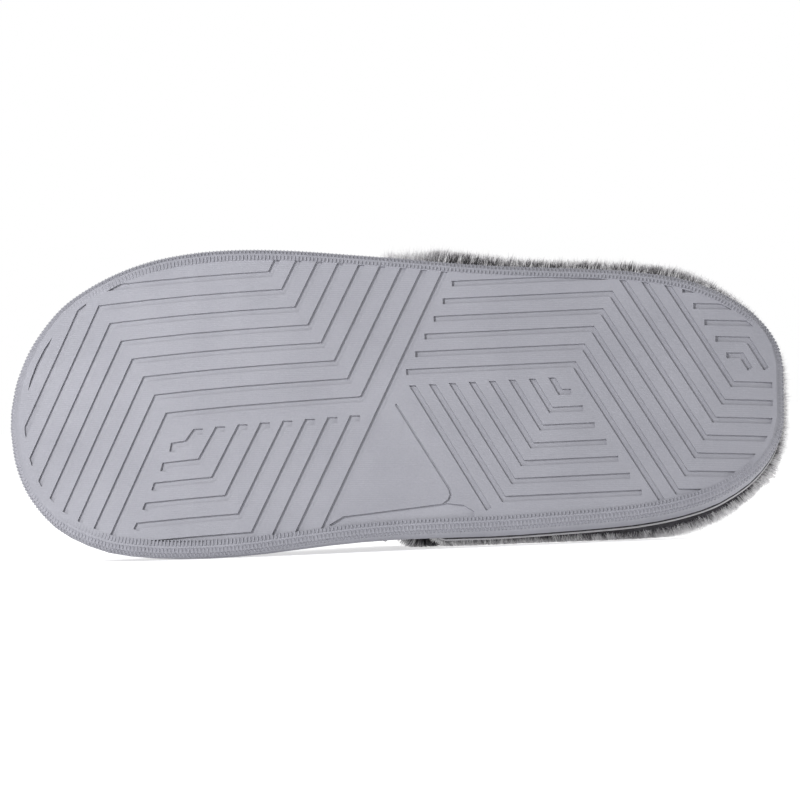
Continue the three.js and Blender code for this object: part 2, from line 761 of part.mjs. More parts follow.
// Line of the throat edge, from the outer feather corner over the instep to the inner one.
function throatLine() {
  const outerSide = vampOuter[0];
  const innerSide = vampOuter[vampOuter.length - 1];
  return [...outerSide, ...innerSide.slice(0, -1).reverse()];
}

function collarPath() {
  const throat = throatLine();
  const middle = new THREE.Vector3(throat[RIB_ROWS].x, throat[RIB_ROWS].y, soleTop(throat[0].x));
  const start = pileBase(throat[0].x) + 0.8 * PILE_THICKNESS;
  const path = [];
  throat.forEach((point, index) => {
    if (point.z < start) return;
    const before = throat[Math.max(index - 1, 0)];
    const after = throat[Math.min(index + 1, throat.length - 1)];
    const run = after.clone().sub(before).normalize();
    const inward = middle.clone().sub(point);
    inward.addScaledVector(run, -inward.dot(run)).normalize();
    const back = new THREE.Vector3().crossVectors(run, inward).normalize();
    if (back.x > 0) back.negate();
    const centre = point.clone()
      .addScaledVector(inward, VAMP_WALL / 2)
      .addScaledVector(back, COLLAR_RADIUS + PIECE_GAP);
    path.push({ point: centre, out: inward.clone().negate(), back, run });
  });
  return path;
}

function buildCollar(growth = 0) {
  const path = collarPath();
  const sides = 7;
  const points = [];
  const faces = [];
  path.forEach((place, ring) => {
    const end = ring === 0 || ring === path.length - 1;
    const size = (end ? 0.72 * COLLAR_RADIUS : COLLAR_RADIUS) + growth;
    for (let side = 0; side < sides; side += 1) {
      const angle = ((side + 0.5) * 2 * Math.PI) / sides;
      points.push(place.point.clone()
        .addScaledVector(place.out, size * Math.cos(angle))
        .addScaledVector(place.back, size * Math.sin(angle)).toArray());
    }
    if (ring === 0) return;
    for (let side = 0; side < sides; side += 1) {
      const next = (side + 1) % sides;
      const a = (ring - 1) * sides + side;
      const b = (ring - 1) * sides + next;
      faces.push([a, b, b + sides], [a, b + sides, a + sides]);
    }
  });
  const last = (path.length - 1) * sides;
  for (let side = 1; side < sides - 1; side += 1) {
    faces.push([0, side + 1, side], [last, last + side, last + side + 1]);
  }
  const roll = outwardSolid(points, faces);
  const locks = [];
  const rows = [
    { turn: 0.35, length: 0.8 },
    { turn: 1.15, length: 0.95 },
    { turn: 2.0, length: 0.85 },
  ];
  rows.forEach((row, rowIndex) => {
    const line = path.map((place) => ({
      point: place.point.clone()
        .addScaledVector(place.out, 0.85 * COLLAR_RADIUS * Math.cos(row.turn))
        .addScaledVector(place.back, 0.85 * COLLAR_RADIUS * Math.sin(row.turn)),
      out: place.out.clone().multiplyScalar(Math.cos(row.turn))
        .addScaledVector(place.back, Math.sin(row.turn)),
    }));
    evenPlaces(line.slice(1, -1), LOCK_PITCH).forEach((place, index) => {
      const seed = 700 + rowIndex * 97 + index;
      const aim = place.out.clone().add(new THREE.Vector3(
        -0.25 * scatter(seed + 0.2),
        0.5 * (scatter(seed + 0.6) - 0.5),
        0.5 * (scatter(seed + 0.9) - 0.5),
      ));
      const droop = new THREE.Vector3(-0.5, 0, -0.4).multiplyScalar(scatter(seed));
      const length = 1.4 * LOCK_LENGTH * row.length * (0.7 + 0.5 * scatter(seed + 7)) + 2 * growth;
      const width = LOCK_WIDTH + 2 * growth;
      locks.push(furLock(place.point, aim, droop, length, width, 2 * scatter(seed + 3)));
    });
  });
  return { roll, locks };
}

// Rest pose: the hull face under the centre of mass, nearest to the slipper's inner side.
function restTurn(solids) {
  const points = [];
  const centre = new THREE.Vector3();
  let total = 0;
  for (const { solid, density } of solids) {
    const mesh = solid.getMesh();
    const data = mesh.vertProperties;
    for (let index = 0; index < data.length; index += 3) {
      points.push(new THREE.Vector3(data[index], data[index + 1], data[index + 2]));
    }
    const tris = mesh.triVerts;
    for (let index = 0; index < tris.length; index += 3) {
      const first = points.length - data.length / 3;
      const [a, b, c] = [0, 1, 2].map((corner) => points[first + tris[index + corner]]);
      const piece = (density * a.dot(new THREE.Vector3().crossVectors(b, c))) / 6;
      centre.addScaledVector(a.clone().add(b).add(c), piece / 4);
      total += piece;
    }
  }
  centre.divideScalar(total);
  const hull = new ConvexHull().setFromPoints(points);
  const down = new THREE.Vector3(0, -1, 0.2).normalize();
  for (let round = 0; round < 40; round += 1) {
    let nearest = null;
    let reach = Infinity;
    for (const face of hull.faces) {
      const facing = face.normal.dot(down);
      if (facing <= 1e-6) continue;
      const distance = (face.constant - face.normal.dot(centre)) / facing;
      if (distance < reach) {
        reach = distance;
        nearest = face;
      }
    }
    if (nearest.normal.dot(down) > 0.9999999) break;
    down.copy(nearest.normal);
  }
  return down;
}

const outsole = buildOutsole();
const vamp = buildVamp();
const board = buildBoard().subtract(buildVamp(PIECE_GAP));
const pileBody = loftRings(pileRings());
const collarParts = buildCollar();
const collarBody = collarParts.roll;

const down = restTurn([
  { solid: outsole, density: 1 },
  { solid: vamp, density: 0.5 },
  { solid: board, density: 0.4 },
  { solid: pileBody, density: 0.15 },
  { solid: collarBody, density: 0.15 },
]);

// Fur that would reach below the floor the firm parts rest on is pressed flat against it.
const firm = [outsole, vamp, board, pileBody, collarBody];
const upward = down.clone().negate();
const floorLevel = Math.min(...firm.map((solid) => {
  const data = solid.getMesh().vertProperties;
  let lowest = Infinity;
  for (let index = 0; index < data.length; index += 3) {
    const height = upward.x * data[index] + upward.y * data[index + 1] + upward.z * data[index + 2];
    lowest = Math.min(lowest, height);
  }
  return lowest;
}));

// Cut at the floor, leaving out the crumbs that the cut and the clearances split off.
function aboveFloor(solid) {
  const pieces = solid.trimByPlane(upward.toArray(), floorLevel).decompose();
  return pieces.reduce((largest, piece) => (piece.volume() > largest.volume() ? piece : largest));
}

const collarRoom = buildCollar(PIECE_GAP + 0.1);
const pile = Manifold.union([pileBody, ...pileLocks()])
  .subtract(Manifold.union([collarRoom.roll, ...collarRoom.locks]))
  .subtract(buildBoard(PIECE_GAP - 0.05))
  .subtract(buildVamp(PIECE_GAP));
const collar = Manifold.union([collarBody, ...collarParts.locks]).subtract(buildVamp(PIECE_GAP));

// Turn the standing shoe onto its inner side: toe to the left, sole to the front.
const toeward = new THREE.Vector3(1, 0, 0).addScaledVector(upward, -upward.x).normalize();
const depth = new THREE.Vector3().crossVectors(toeward, upward).normalize();
const turn = new THREE.Matrix4().makeBasis(toeward.clone().negate(), depth, upward).transpose();

const group = new THREE.Group();
function addNode(name, solid, colour) {
  const mesh = solid.getMesh();
  const geometry = new THREE.BufferGeometry();
  geometry.setAttribute('position', new THREE.BufferAttribute(new Float32Array(mesh.vertProperties), 3));
  geometry.setIndex(new THREE.BufferAttribute(new Uint32Array(mesh.triVerts), 1));
  geometry.applyMatrix4(turn);
  const node = new THREE.Mesh(geometry, new THREE.MeshStandardMaterial({ color: colour, roughness: 0.8 }));
  node.name = name;
  group.add(node);
}

addNode('outsole', outsole, 0xb2b2bc);
addNode('insole_board', board, 0xb9b6bd);
addNode('fur_footbed', aboveFloor(pile), 0x55535a);
addNode('vamp', vamp, 0x6d6b72);
addNode('fur_collar', aboveFloor(collar), 0x5c5a61);

group.updateMatrixWorld(true);
const box = new THREE.Box3().setFromObject(group);
group.position.set(-(box.min.x + box.max.x) / 2, -(box.min.y + box.max.y) / 2, -box.min.z);

export default group;
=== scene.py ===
import json
import math

import bpy
import numpy as np
from mathutils import Matrix, Vector
from mathutils.kdtree import KDTree


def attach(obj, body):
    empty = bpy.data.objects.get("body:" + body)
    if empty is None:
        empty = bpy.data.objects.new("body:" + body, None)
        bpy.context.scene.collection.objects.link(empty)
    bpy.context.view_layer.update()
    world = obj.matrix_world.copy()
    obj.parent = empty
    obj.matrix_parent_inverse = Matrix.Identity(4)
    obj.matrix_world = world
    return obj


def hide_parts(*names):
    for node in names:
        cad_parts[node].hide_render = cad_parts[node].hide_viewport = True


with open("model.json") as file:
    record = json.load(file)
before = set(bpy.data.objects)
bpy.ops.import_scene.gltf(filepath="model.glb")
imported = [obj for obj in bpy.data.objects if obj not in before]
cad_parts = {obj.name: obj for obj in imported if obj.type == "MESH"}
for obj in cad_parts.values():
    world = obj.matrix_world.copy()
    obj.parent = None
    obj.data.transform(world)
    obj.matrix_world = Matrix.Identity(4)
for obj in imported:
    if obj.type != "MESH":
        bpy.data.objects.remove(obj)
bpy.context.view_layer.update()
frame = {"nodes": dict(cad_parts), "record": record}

# Sizes of the part, in millimetres, in the frame of the standing shoe: x heel to toe, y to the
# outer side and z up from the ground.
SOLE_LENGTH = 258
HALF_BALL = 52
TOE_SPRING = 17
HEEL_BEVEL = 3.5
INSTEP_HEIGHT = 68
TOE_BOX_HEIGHT = 45
PIECE_GAP = 0.3
HEEL_WALL = 15
TOE_WALL = 9
VAMP_WALL = 2.4
FEATHER_INSET = 2.6
RIDGE_SHIFT = -3
THROAT_LATERAL = 0.512
THROAT_MEDIAL = 0.476
THROAT_LEAD = 1
THROAT_BLEND = 9
BOARD_THICKNESS = 3.6
PILE_THICKNESS = 9
COLLAR_RADIUS = 6
MILLIMETRE = 0.001

# Shares of the length: where the sole's wall starts to get lower, and the run it does so over.
WALL_FALL_START = 0.3
WALL_FALL_RUN = 0.55

# Sole outline: distance along the length, and half widths as shares of the ball's half width.
OUTLINE = [
    (0, 0.24, 0.1), (0.005, 0.365, 0.225), (0.018, 0.482, 0.346), (0.039, 0.59, 0.47),
    (0.065, 0.679, 0.568), (0.092, 0.743, 0.643), (0.132, 0.809, 0.71), (0.184, 0.849, 0.763),
    (0.236, 0.869, 0.792), (0.301, 0.879, 0.82), (0.366, 0.89, 0.845), (0.431, 0.91, 0.86),
    (0.496, 0.938, 0.878), (0.561, 0.962, 0.91), (0.626, 0.985, 0.956), (0.691, 0.995, 1.0),
    (0.756, 0.984, 1.016), (0.821, 0.935, 1.0), (0.873, 0.849, 0.951), (0.925, 0.707, 0.827),
    (0.95, 0.591, 0.722), (0.976, 0.409, 0.548), (0.989, 0.26, 0.4), (0.995, 0.16, 0.29),
    (1, 0, 0.12),
]
# Rocker of the tread: place along, share of the heel bevel, share of the toe spring.
ROCKER = [
    (0, 1, 0), (0.04, 0.4, 0), (0.11, 0, 0), (0.64, 0, 0), (0.7, 0, 0.028), (0.76, 0, 0.111),
    (0.82, 0, 0.25), (0.88, 0, 0.444), (0.94, 0, 0.694), (1, 0, 1),
]
# Ridge of the vamp: place along, share of the rise from the toe box to the instep.
RIDGE = [
    (0.56, 1), (0.62, 0.84), (0.68, 0.62), (0.74, 0.39), (0.8, 0.18), (0.85, 0.05), (0.885, 0),
]
# How far the pile stands out past the sole, in millimetres: place along, outer side, inner side.
OVERHANG = [
    (0, 1.2, 1), (0.03, 2.8, 1.2), (0.07, 5.2, 2.2), (0.13, 7.6, 3), (0.2, 7.3, 3), (0.27, 6.9, 1.6),
    (0.34, 7.1, 0.6), (0.42, 8.3, 0.6), (0.52, 8.6, 0.6),
]


def column(table, index, along):
    rows = np.array(table, float)
    return np.interp(along, rows[:, 0], rows[:, index])


def smooth_step(value):
    share = np.clip(value, 0, 1)
    return share * share * (3 - 2 * share)


def unit(vectors):
    """Vectors of length one, in rows or alone."""
    return vectors / np.linalg.norm(vectors, axis=-1, keepdims=True)


# The frame of the standing shoe, found from the tread's mount and the sole's heel end: the points
# within this depth of it, in metres.
HEEL_END_DEPTH = 2e-5
tread = frame["record"]["mounts"][0]
shoe_z = -np.array(tread["axis"], float)
heel_drop = math.atan2(-shoe_z[0], -shoe_z[2])
shoe_x = np.array([-math.cos(heel_drop), 0, math.sin(heel_drop)])
shoe_y = np.cross(shoe_z, shoe_x)
shoe_axes = np.array([shoe_x, shoe_y, shoe_z])
sole_mesh = frame["nodes"]["outsole"].data
sole_points = np.array([v.co for v in sole_mesh.vertices]) - np.array(tread["pos_m"])
along_sole = sole_points @ shoe_x
across_heel = (sole_points @ shoe_y)[along_sole < along_sole.min() + HEEL_END_DEPTH]
heel_middle = (OUTLINE[0][1] - OUTLINE[0][2]) / 2 * HALF_BALL * MILLIMETRE
shoe_origin = (np.array(tread["pos_m"]) + along_sole.min() * shoe_x
               + (across_heel.mean() - heel_middle) * shoe_y)


def to_row(points):
    """Millimetres in the standing shoe's frame to metres in the row's frame."""
    return shoe_origin + (np.asarray(points, float) * MILLIMETRE) @ shoe_axes


# Knots that each step of the curve's rule blends between, from four points down to one.
CURVE_SPANS = [[(0, 1), (1, 2), (2, 3)], [(0, 2), (1, 3)], [(1, 2)]]
CURVE_STEPS = 16


def edge_curve(index, sign):
    """Centripetal curve through one side of the outline, as rows of x and y."""
    corners = np.array([(row[0] * SOLE_LENGTH, sign * row[index] * HALF_BALL) for row in OUTLINE])
    corners = np.vstack([2 * corners[0] - corners[1], corners, 2 * corners[-1] - corners[-2]])
    found = []
    for at in range(1, len(corners) - 2):
        four = corners[at - 1:at + 3]
        steps = np.sqrt(np.linalg.norm(np.diff(four, axis=0), axis=1))
        knots = np.concatenate([[0], np.cumsum(steps)])
        for place in np.linspace(knots[1], knots[2], CURVE_STEPS, endpoint=False):
            layer = list(four)
            for spans in CURVE_SPANS:
                layer = [
                    layer[n] * (knots[high] - place) / (knots[high] - knots[low])
                    + layer[n + 1] * (place - knots[low]) / (knots[high] - knots[low])
                    for n, (low, high) in enumerate(spans)
                ]
            found.append(layer[0])
    found.append(corners[-2])
    return np.array(found)


lateral_edge = edge_curve(1, 1)
medial_edge = edge_curve(2, -1)


def edge_across(edge, x):
    return np.interp(x, edge[:, 0], edge[:, 1])


def midline(x):
    return (edge_across(lateral_edge, x) + edge_across(medial_edge, x)) / 2


def ground_height(x):
    along = np.asarray(x, float) / SOLE_LENGTH
    return HEEL_BEVEL * column(ROCKER, 1, along) + TOE_SPRING * column(ROCKER, 2, along)


def wall_height(x):
    fallen = smooth_step((np.asarray(x) / SOLE_LENGTH - WALL_FALL_START) / WALL_FALL_RUN)
    return HEEL_WALL + (TOE_WALL - HEEL_WALL) * fallen


def sole_top(x):
    return ground_height(x) + wall_height(x)


def outline_loop(pitch=1.6):
    """Places round the sole at an even pitch, heel to toe on the inner side and back on the
    outer side: rows of x, y, outward x, outward y and side."""
    loop = np.vstack([medial_edge, lateral_edge[::-1]])
    sides = np.concatenate([-np.ones(len(medial_edge)), np.ones(len(lateral_edge))])
    keep = np.concatenate([[True], np.linalg.norm(np.diff(loop, axis=0), axis=1) > 1e-6])
    loop, sides = loop[keep], sides[keep]
    closed = np.vstack([loop, loop[:1]])
    runs = np.concatenate([[0], np.cumsum(np.linalg.norm(np.diff(closed, axis=0), axis=1))])
    stations = np.linspace(0, runs[-1], int(runs[-1] / pitch), endpoint=False)
    x = np.interp(stations, runs, closed[:, 0])
    y = np.interp(stations, runs, closed[:, 1])
    side = np.where(stations < runs[int((sides < 0).sum()) - 1], -1.0, 1.0)
    flat = np.stack([x, y], 1)
    ahead = unit(np.roll(flat, -2, axis=0) - np.roll(flat, 2, axis=0))
    return np.stack([x, y, ahead[:, 1], -ahead[:, 0], side], 1)


def throat_place(side):
    """How far from the heel the vamp starts, on the outer side or the inner."""
    return np.where(side > 0, THROAT_LATERAL, THROAT_MEDIAL) * SOLE_LENGTH


def covered_share(x, side):
    """0 behind the throat and 1 under the vamp."""
    throat = throat_place(side) - THROAT_LEAD
    return np.clip((x - (throat - THROAT_BLEND)) / THROAT_BLEND, 0, 1)


def overhang(x, side):
    along = np.asarray(x) / SOLE_LENGTH
    return np.where(side > 0, column(OVERHANG, 1, along), column(OVERHANG, 2, along))


# How far behind the vamp's corner the fringe reaches its full length.
FRINGE_FADE = 16


def throat_fade(x, side):
    """0 at the vamp's corner and 1 where the fringe has its full length."""
    return np.clip((throat_place(side) - x) / FRINGE_FADE, 0, 1)


def ring_of(loop, inset, height):
    """One ring round the shoe, pulled in from the outline by the inset, its height a rule of x."""
    x = loop[:, 0] - inset * loop[:, 2]
    y = loop[:, 1] - inset * loop[:, 3]
    return np.stack([x, y, height(x)], 1)


def pile_base(x):
    return sole_top(x) + 2 * PIECE_GAP + BOARD_THICKNESS


# Mesh making.

def place_object(name, data):
    placed = bpy.data.objects.new(name, data)
    bpy.context.scene.collection.objects.link(placed)
    return placed


def mesh_piece(name, points, faces, material, smooth=True):
    """A new object from points in the shoe's frame and a list of faces, pressed flat on the floor
    where it would pass through it."""
    mesh = bpy.data.meshes.new(name)
    placed = to_row(points)
    placed[:, 2] = np.maximum(placed[:, 2], 0)
    mesh.from_pydata([tuple(p) for p in placed], [], [tuple(int(i) for i in f) for f in faces])
    mesh.validate()
    mesh.materials.append(material)
    if smooth:
        mesh.polygons.foreach_set("use_smooth", [True] * len(mesh.polygons))
    mesh.update()
    return place_object(name, mesh)


def grid_faces(rows, count):
    """Faces between closed rings that follow each other."""
    faces = []
    for row in range(rows - 1):
        for at in range(count):
            after = (at + 1) % count
            faces.append((row * count + at, row * count + after,
                          (row + 1) * count + after, (row + 1) * count + at))
    return faces


def cap_faces(base, count):
    """Faces across the ring that starts at a base, from one side of the sole to the other."""
    return [(base + at, base + at + 1, base + count - 2 - at, base + count - 1 - at)
            for at in range(count // 2 - 1)]


def settle(piece):
    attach(piece, "root")


# A hair's blade: the shares of its length where its points lie, its half widths there as shares
# of its width, and its faces. Hairs pressed on the floor lie at uneven heights, in metres.
HAIR_SHARES = np.array([0, 0.36, 0.7, 1.0])
HAIR_TAPER = np.array([0.5, 0.42, 0.26])
HAIR_FACES = np.array([0, 1, 3, 2, 2, 3, 5, 4, 4, 5, 6])
FLOOR_LIFT = 0.0002
FLOOR_LIFT_SPREAD = 0.0006


def grow_hair(name, material, roots, aim, bend, length, width, tone, seed):
    """Thin tapered blades, four points long, coloured from root to tip by an attribute."""
    random = np.random.default_rng(seed)
    count = len(roots)
    aim = unit(aim)
    side = unit(np.cross(aim, random.normal(size=(count, 3))))
    shares = HAIR_SHARES[None, :, None]
    centre = roots[:, None, :] + length[:, None, None] * (
        shares * aim[:, None, :] + shares ** 2 * bend[:, None, :])
    half = width[:, None] * HAIR_TAPER
    offset = side[:, None, :] * half[:, :, None]
    points = np.empty((count, 7, 3))
    points[:, 0:6:2] = centre[:, :3] - offset
    points[:, 1:6:2] = centre[:, :3] + offset
    points[:, 6] = centre[:, 3]
    placed = to_row(points.reshape(-1, 3))
    lift = FLOOR_LIFT + FLOOR_LIFT_SPREAD * np.repeat(random.random(count), 7)
    placed[:, 2] = np.maximum(placed[:, 2], lift)
    loops = (np.arange(count)[:, None] * 7 + HAIR_FACES[None, :]).ravel()
    starts = (np.arange(count)[:, None] * 11 + np.array([0, 4, 8])[None, :]).ravel()
    mesh = bpy.data.meshes.new(name)
    mesh.vertices.add(count * 7)
    mesh.vertices.foreach_set("co", placed.astype(np.float32).ravel())
    mesh.loops.add(len(loops))
    mesh.loops.foreach_set("vertex_index", loops.astype(np.int32))
    mesh.polygons.add(count * 3)
    mesh.polygons.foreach_set("loop_start", starts.astype(np.int32))
    mesh.polygons.foreach_set("use_smooth", np.ones(count * 3, bool))
    mesh.update(calc_edges=True)
    colour = mesh.color_attributes.new("hair", "FLOAT_COLOR", "POINT")
    values = np.ones((count, 7, 4), np.float32)
    values[:, :, 0] = np.repeat(HAIR_SHARES, 2)[None, :7]
    values[:, :, 1] = random.random(count)[:, None]
    values[:, :, 2] = tone[:, None]
    colour.data.foreach_set("color", values.ravel())
    mesh.materials.append(material)
    return place_object(name, mesh)


# Materials.

def new_material(name, roughness):
    material = bpy.data.materials.new(name)
    material.use_nodes = True
    tree = material.node_tree
    shader = tree.nodes["Principled BSDF"]
    shader.inputs["Roughness"].default_value = roughness
    return material, tree, shader


def add_node(tree, kind, **settings):
    node = tree.nodes.new(kind)
    for key, value in settings.items():
        setattr(node, key, value)
    return node


def noise(tree, coordinates, scale, detail=3.0, roughness=0.6):
    node = add_node(tree, "ShaderNodeTexNoise")
    node.inputs["Scale"].default_value = scale
    node.inputs["Detail"].default_value = detail
    node.inputs["Roughness"].default_value = roughness
    tree.links.new(coordinates, node.inputs["Vector"])
    return node.outputs["Fac"]


def ramp(tree, factor, *stops):
    node = add_node(tree, "ShaderNodeValToRGB")
    while len(node.color_ramp.elements) < len(stops):
        node.color_ramp.elements.new(0.5)
    for element, (place, colour) in zip(node.color_ramp.elements, stops):
        element.position = place
        element.color = (*colour, 1)
    tree.links.new(factor, node.inputs["Fac"])
    return node.outputs["Color"]


def paint(tree, shader, factor, *stops):
    """Colours the shader by a ramp of colours along a factor."""
    tree.links.new(ramp(tree, factor, *stops), shader.inputs["Base Color"])


def maths(tree, operation, *terms):
    node = add_node(tree, "ShaderNodeMath", operation=operation)
    for socket, value in zip(node.inputs, terms):
        if isinstance(value, (int, float)):
            socket.default_value = value
        else:
            tree.links.new(value, socket)
    return node.outputs["Value"]


def mixed(tree, first, first_share, second, second_share):
    """The sum of two textures, each times its share."""
    return maths(tree, "ADD", maths(tree, "MULTIPLY", first, first_share),
                 maths(tree, "MULTIPLY", second, second_share))


def along_axis(tree, coordinates, axis):
    node = add_node(tree, "ShaderNodeVectorMath", operation="DOT_PRODUCT")
    tree.links.new(coordinates, node.inputs[0])
    node.inputs[1].default_value = tuple(axis)
    return node.outputs["Value"]


def waves(tree, coordinates, axis, pitch):
    """Even waves along an axis, with a pitch in metres."""
    along = along_axis(tree, coordinates, axis)
    return maths(tree, "SINE", maths(tree, "MULTIPLY", along, 2 * math.pi / pitch))


def bump(tree, shader, height, distance, strength=1.0, under=None):
    node = add_node(tree, "ShaderNodeBump")
    node.inputs["Distance"].default_value = distance
    node.inputs["Strength"].default_value = strength
    tree.links.new(height, node.inputs["Height"])
    if under is not None:
        tree.links.new(under, node.inputs["Normal"])
    tree.links.new(node.outputs["Normal"], shader.inputs["Normal"])
    return node.outputs["Normal"]


def object_coordinates(tree):
    return add_node(tree, "ShaderNodeTexCoord").outputs["Object"]


# Depth in metres over which a groove's floor is looked for, how much paler that floor is painted
# as painted light against the shade in the grooves, and the pitch in metres of the fine lines left
# by the mould.
DEEP = 0.002
GROOVE_PAINTED_LIGHT = 0.25
MOULD_LINE_PITCH = 0.00072
BLACK = (0, 0, 0)
WHITE = (1, 1, 1)


def groove_share(tree, place):
    """1 on the floors of the grooves and 0 on the land, from the depth under the rocker: the mask of the
    painted light there.
    """
    along = maths(tree, "SUBTRACT", along_axis(tree, place, shoe_x), float(shoe_origin @ shoe_x))
    share = maths(tree, "MULTIPLY", along, 1 / MILLIMETRE / SOLE_LENGTH)
    rise = [(row[0], float((row[1] * HEEL_BEVEL + row[2] * TOE_SPRING) / TOE_SPRING)) for row in ROCKER]
    rocker = ramp(tree, share, *((at, (height,) * 3) for at, height in rise))
    ground = maths(tree, "MULTIPLY", rocker, TOE_SPRING * MILLIMETRE)
    height = maths(tree, "SUBTRACT", along_axis(tree, place, shoe_z), float(shoe_origin @ shoe_z))
    depth = maths(tree, "MULTIPLY", maths(tree, "SUBTRACT", height, ground), 1 / DEEP)
    return ramp(tree, depth, (0.2, BLACK), (0.4, WHITE), (0.75, WHITE), (1.0, BLACK))


def rubber_material():
    """Matt foamed rubber: lilac grey, faintly mottled, with fine moulding lines and grain, and
    painted paler on the groove floors: painted light that lifts the shade falling there."""
    material, tree, shader = new_material("sole_rubber", 0.62)
    shader.inputs["Specular IOR Level"].default_value = 0.35
    place = object_coordinates(tree)
    mottle = noise(tree, place, 38, 4)
    speck = noise(tree, place, 1500, 2, 0.7)
    shade = mixed(tree, mottle, 0.6, speck, 0.4)
    # Painted light: the groove floors are painted paler, lifting the shade that falls in the grooves.
    shade = mixed(tree, shade, 1.0, groove_share(tree, place), GROOVE_PAINTED_LIGHT)
    paint(tree, shader, shade, (0.3, (0.235, 0.236, 0.266)), (0.7, (0.285, 0.285, 0.319)),
          (1.0, (0.33, 0.33, 0.366)))
    under = bump(tree, shader, waves(tree, place, shoe_y, MOULD_LINE_PITCH), 0.00002, 0.5)
    grain = noise(tree, place, 2600, 3, 0.7)
    bump(tree, shader, grain, 0.00006, 0.6, under)
    return material


# Pitch in metres of the binding tape's threads.
WARP_PITCH = 0.0009
WEFT_PITCH = 0.0007


def binding_material():
    """Woven tape that wraps the insole board."""
    material, tree, shader = new_material("board_binding", 0.85)
    shader.inputs["Sheen Weight"].default_value = 0.25
    place = object_coordinates(tree)
    weave = maths(tree, "MULTIPLY", waves(tree, place, shoe_x, WARP_PITCH),
                  waves(tree, place, shoe_z, WEFT_PITCH))
    mottle = noise(tree, place, 300, 3)
    paint(tree, shader, mottle, (0.3, (0.29, 0.285, 0.3)), (0.7, (0.39, 0.385, 0.4)))
    bump(tree, shader, weave, 0.00008, 0.7)
    return material


def suede_material():
    """Brushed microsuede of the vamp: soft nap with cloudy shading."""
    material, tree, shader = new_material("vamp_cloth", 0.92)
    shader.inputs["Sheen Weight"].default_value = 0.5
    shader.inputs["Sheen Roughness"].default_value = 0.45
    shader.inputs["Specular IOR Level"].default_value = 0.2
    place = object_coordinates(tree)
    cloud = noise(tree, place, 55, 4, 0.62)
    nap = noise(tree, place, 1400, 3, 0.7)
    shade = mixed(tree, cloud, 0.7, nap, 0.3)
    paint(tree, shader, shade, (0.32, (0.118, 0.115, 0.128)), (0.68, (0.205, 0.20, 0.22)))
    under = bump(tree, shader, cloud, 0.0005, 0.35)
    bump(tree, shader, nap, 0.00018, 0.7, under)
    return material


# How much hairs differ in tone, one by one and lock by lock.
HAIR_VARIETY = 0.42
LOCK_VARIETY = 0.5


def fur_material(name, *stops):
    """Frosted fur: dark roots and pale tips, a little different from hair to hair."""
    material, tree, shader = new_material(name, 0.7)
    shader.inputs["Specular IOR Level"].default_value = 0.15
    shader.inputs["Sheen Weight"].default_value = 0.3
    attribute = add_node(tree, "ShaderNodeAttribute", attribute_name="hair")
    split = add_node(tree, "ShaderNodeSeparateColor")
    tree.links.new(attribute.outputs["Color"], split.inputs["Color"])
    varied = mixed(tree, maths(tree, "SUBTRACT", split.outputs["Green"], 0.5), HAIR_VARIETY,
                   maths(tree, "SUBTRACT", split.outputs["Blue"], 0.5), LOCK_VARIETY)
    paint(tree, shader, maths(tree, "ADD", split.outputs["Red"], varied), *stops)
    return material


def backing_and_gap_shade_material():
    """Knitted backing deep in the fur, nearly black between the hairs. The same material is painted
    shade in the gap between the insole board's edge and the sole.
    """
    material, tree, shader = new_material("fur_backing_and_gap_shade", 0.95)
    place = object_coordinates(tree)
    tuft = noise(tree, place, 420, 3, 0.65)
    paint(tree, shader, tuft, (0.3, (0.016, 0.015, 0.018)), (0.75, (0.07, 0.067, 0.075)))
    bump(tree, shader, tuft, 0.0012, 0.8)
    return material


def thread_material():
    """Twisted thread, a little paler than the vamp."""
    material, tree, shader = new_material("thread", 0.7)
    place = object_coordinates(tree)
    twist = noise(tree, place, 2200, 2, 0.5)
    paint(tree, shader, twist, (0.3, (0.21, 0.205, 0.225)), (0.7, (0.33, 0.325, 0.35)))
    bump(tree, shader, twist, 0.0001, 0.6)
    return material


rubber = rubber_material()
binding = binding_material()
suede = suede_material()
backing_and_gap_shade = backing_and_gap_shade_material()
thread = thread_material()
frosted = fur_material(
    "frosted_fur",
    (0.0, (0.026, 0.024, 0.027)), (0.2, (0.06, 0.057, 0.063)), (0.42, (0.24, 0.232, 0.247)),
    (0.62, (0.62, 0.61, 0.625)), (0.85, (0.9, 0.895, 0.9)),
)
plush = fur_material(
    "plush_lining",
    (0.0, (0.05, 0.048, 0.053)), (0.5, (0.14, 0.135, 0.148)), (1.0, (0.33, 0.325, 0.345)),
)

# The outsole keeps its solid, which has the outline, walls, grooves and the bare field. Its edges
# are sharp from the first angle and rounded from the second, by a width in metres.
SHARP_ANGLE = 24
ROUNDED_ANGLE = 35
ROUNDED_WIDTH = 0.00032

outsole = frame["nodes"]["outsole"]
outsole.data.materials.clear()
outsole.data.materials.append(rubber)
outsole.data.polygons.foreach_set("use_smooth", [True] * len(outsole.data.polygons))
outsole.data.set_sharp_from_angle(angle=math.radians(SHARP_ANGLE))
edges = outsole.modifiers.new("edges", "BEVEL")
edges.width = ROUNDED_WIDTH
edges.segments = 2
edges.limit_method = "ANGLE"
edges.angle_limit = math.radians(ROUNDED_ANGLE)
edges.use_clamp_overlap = False

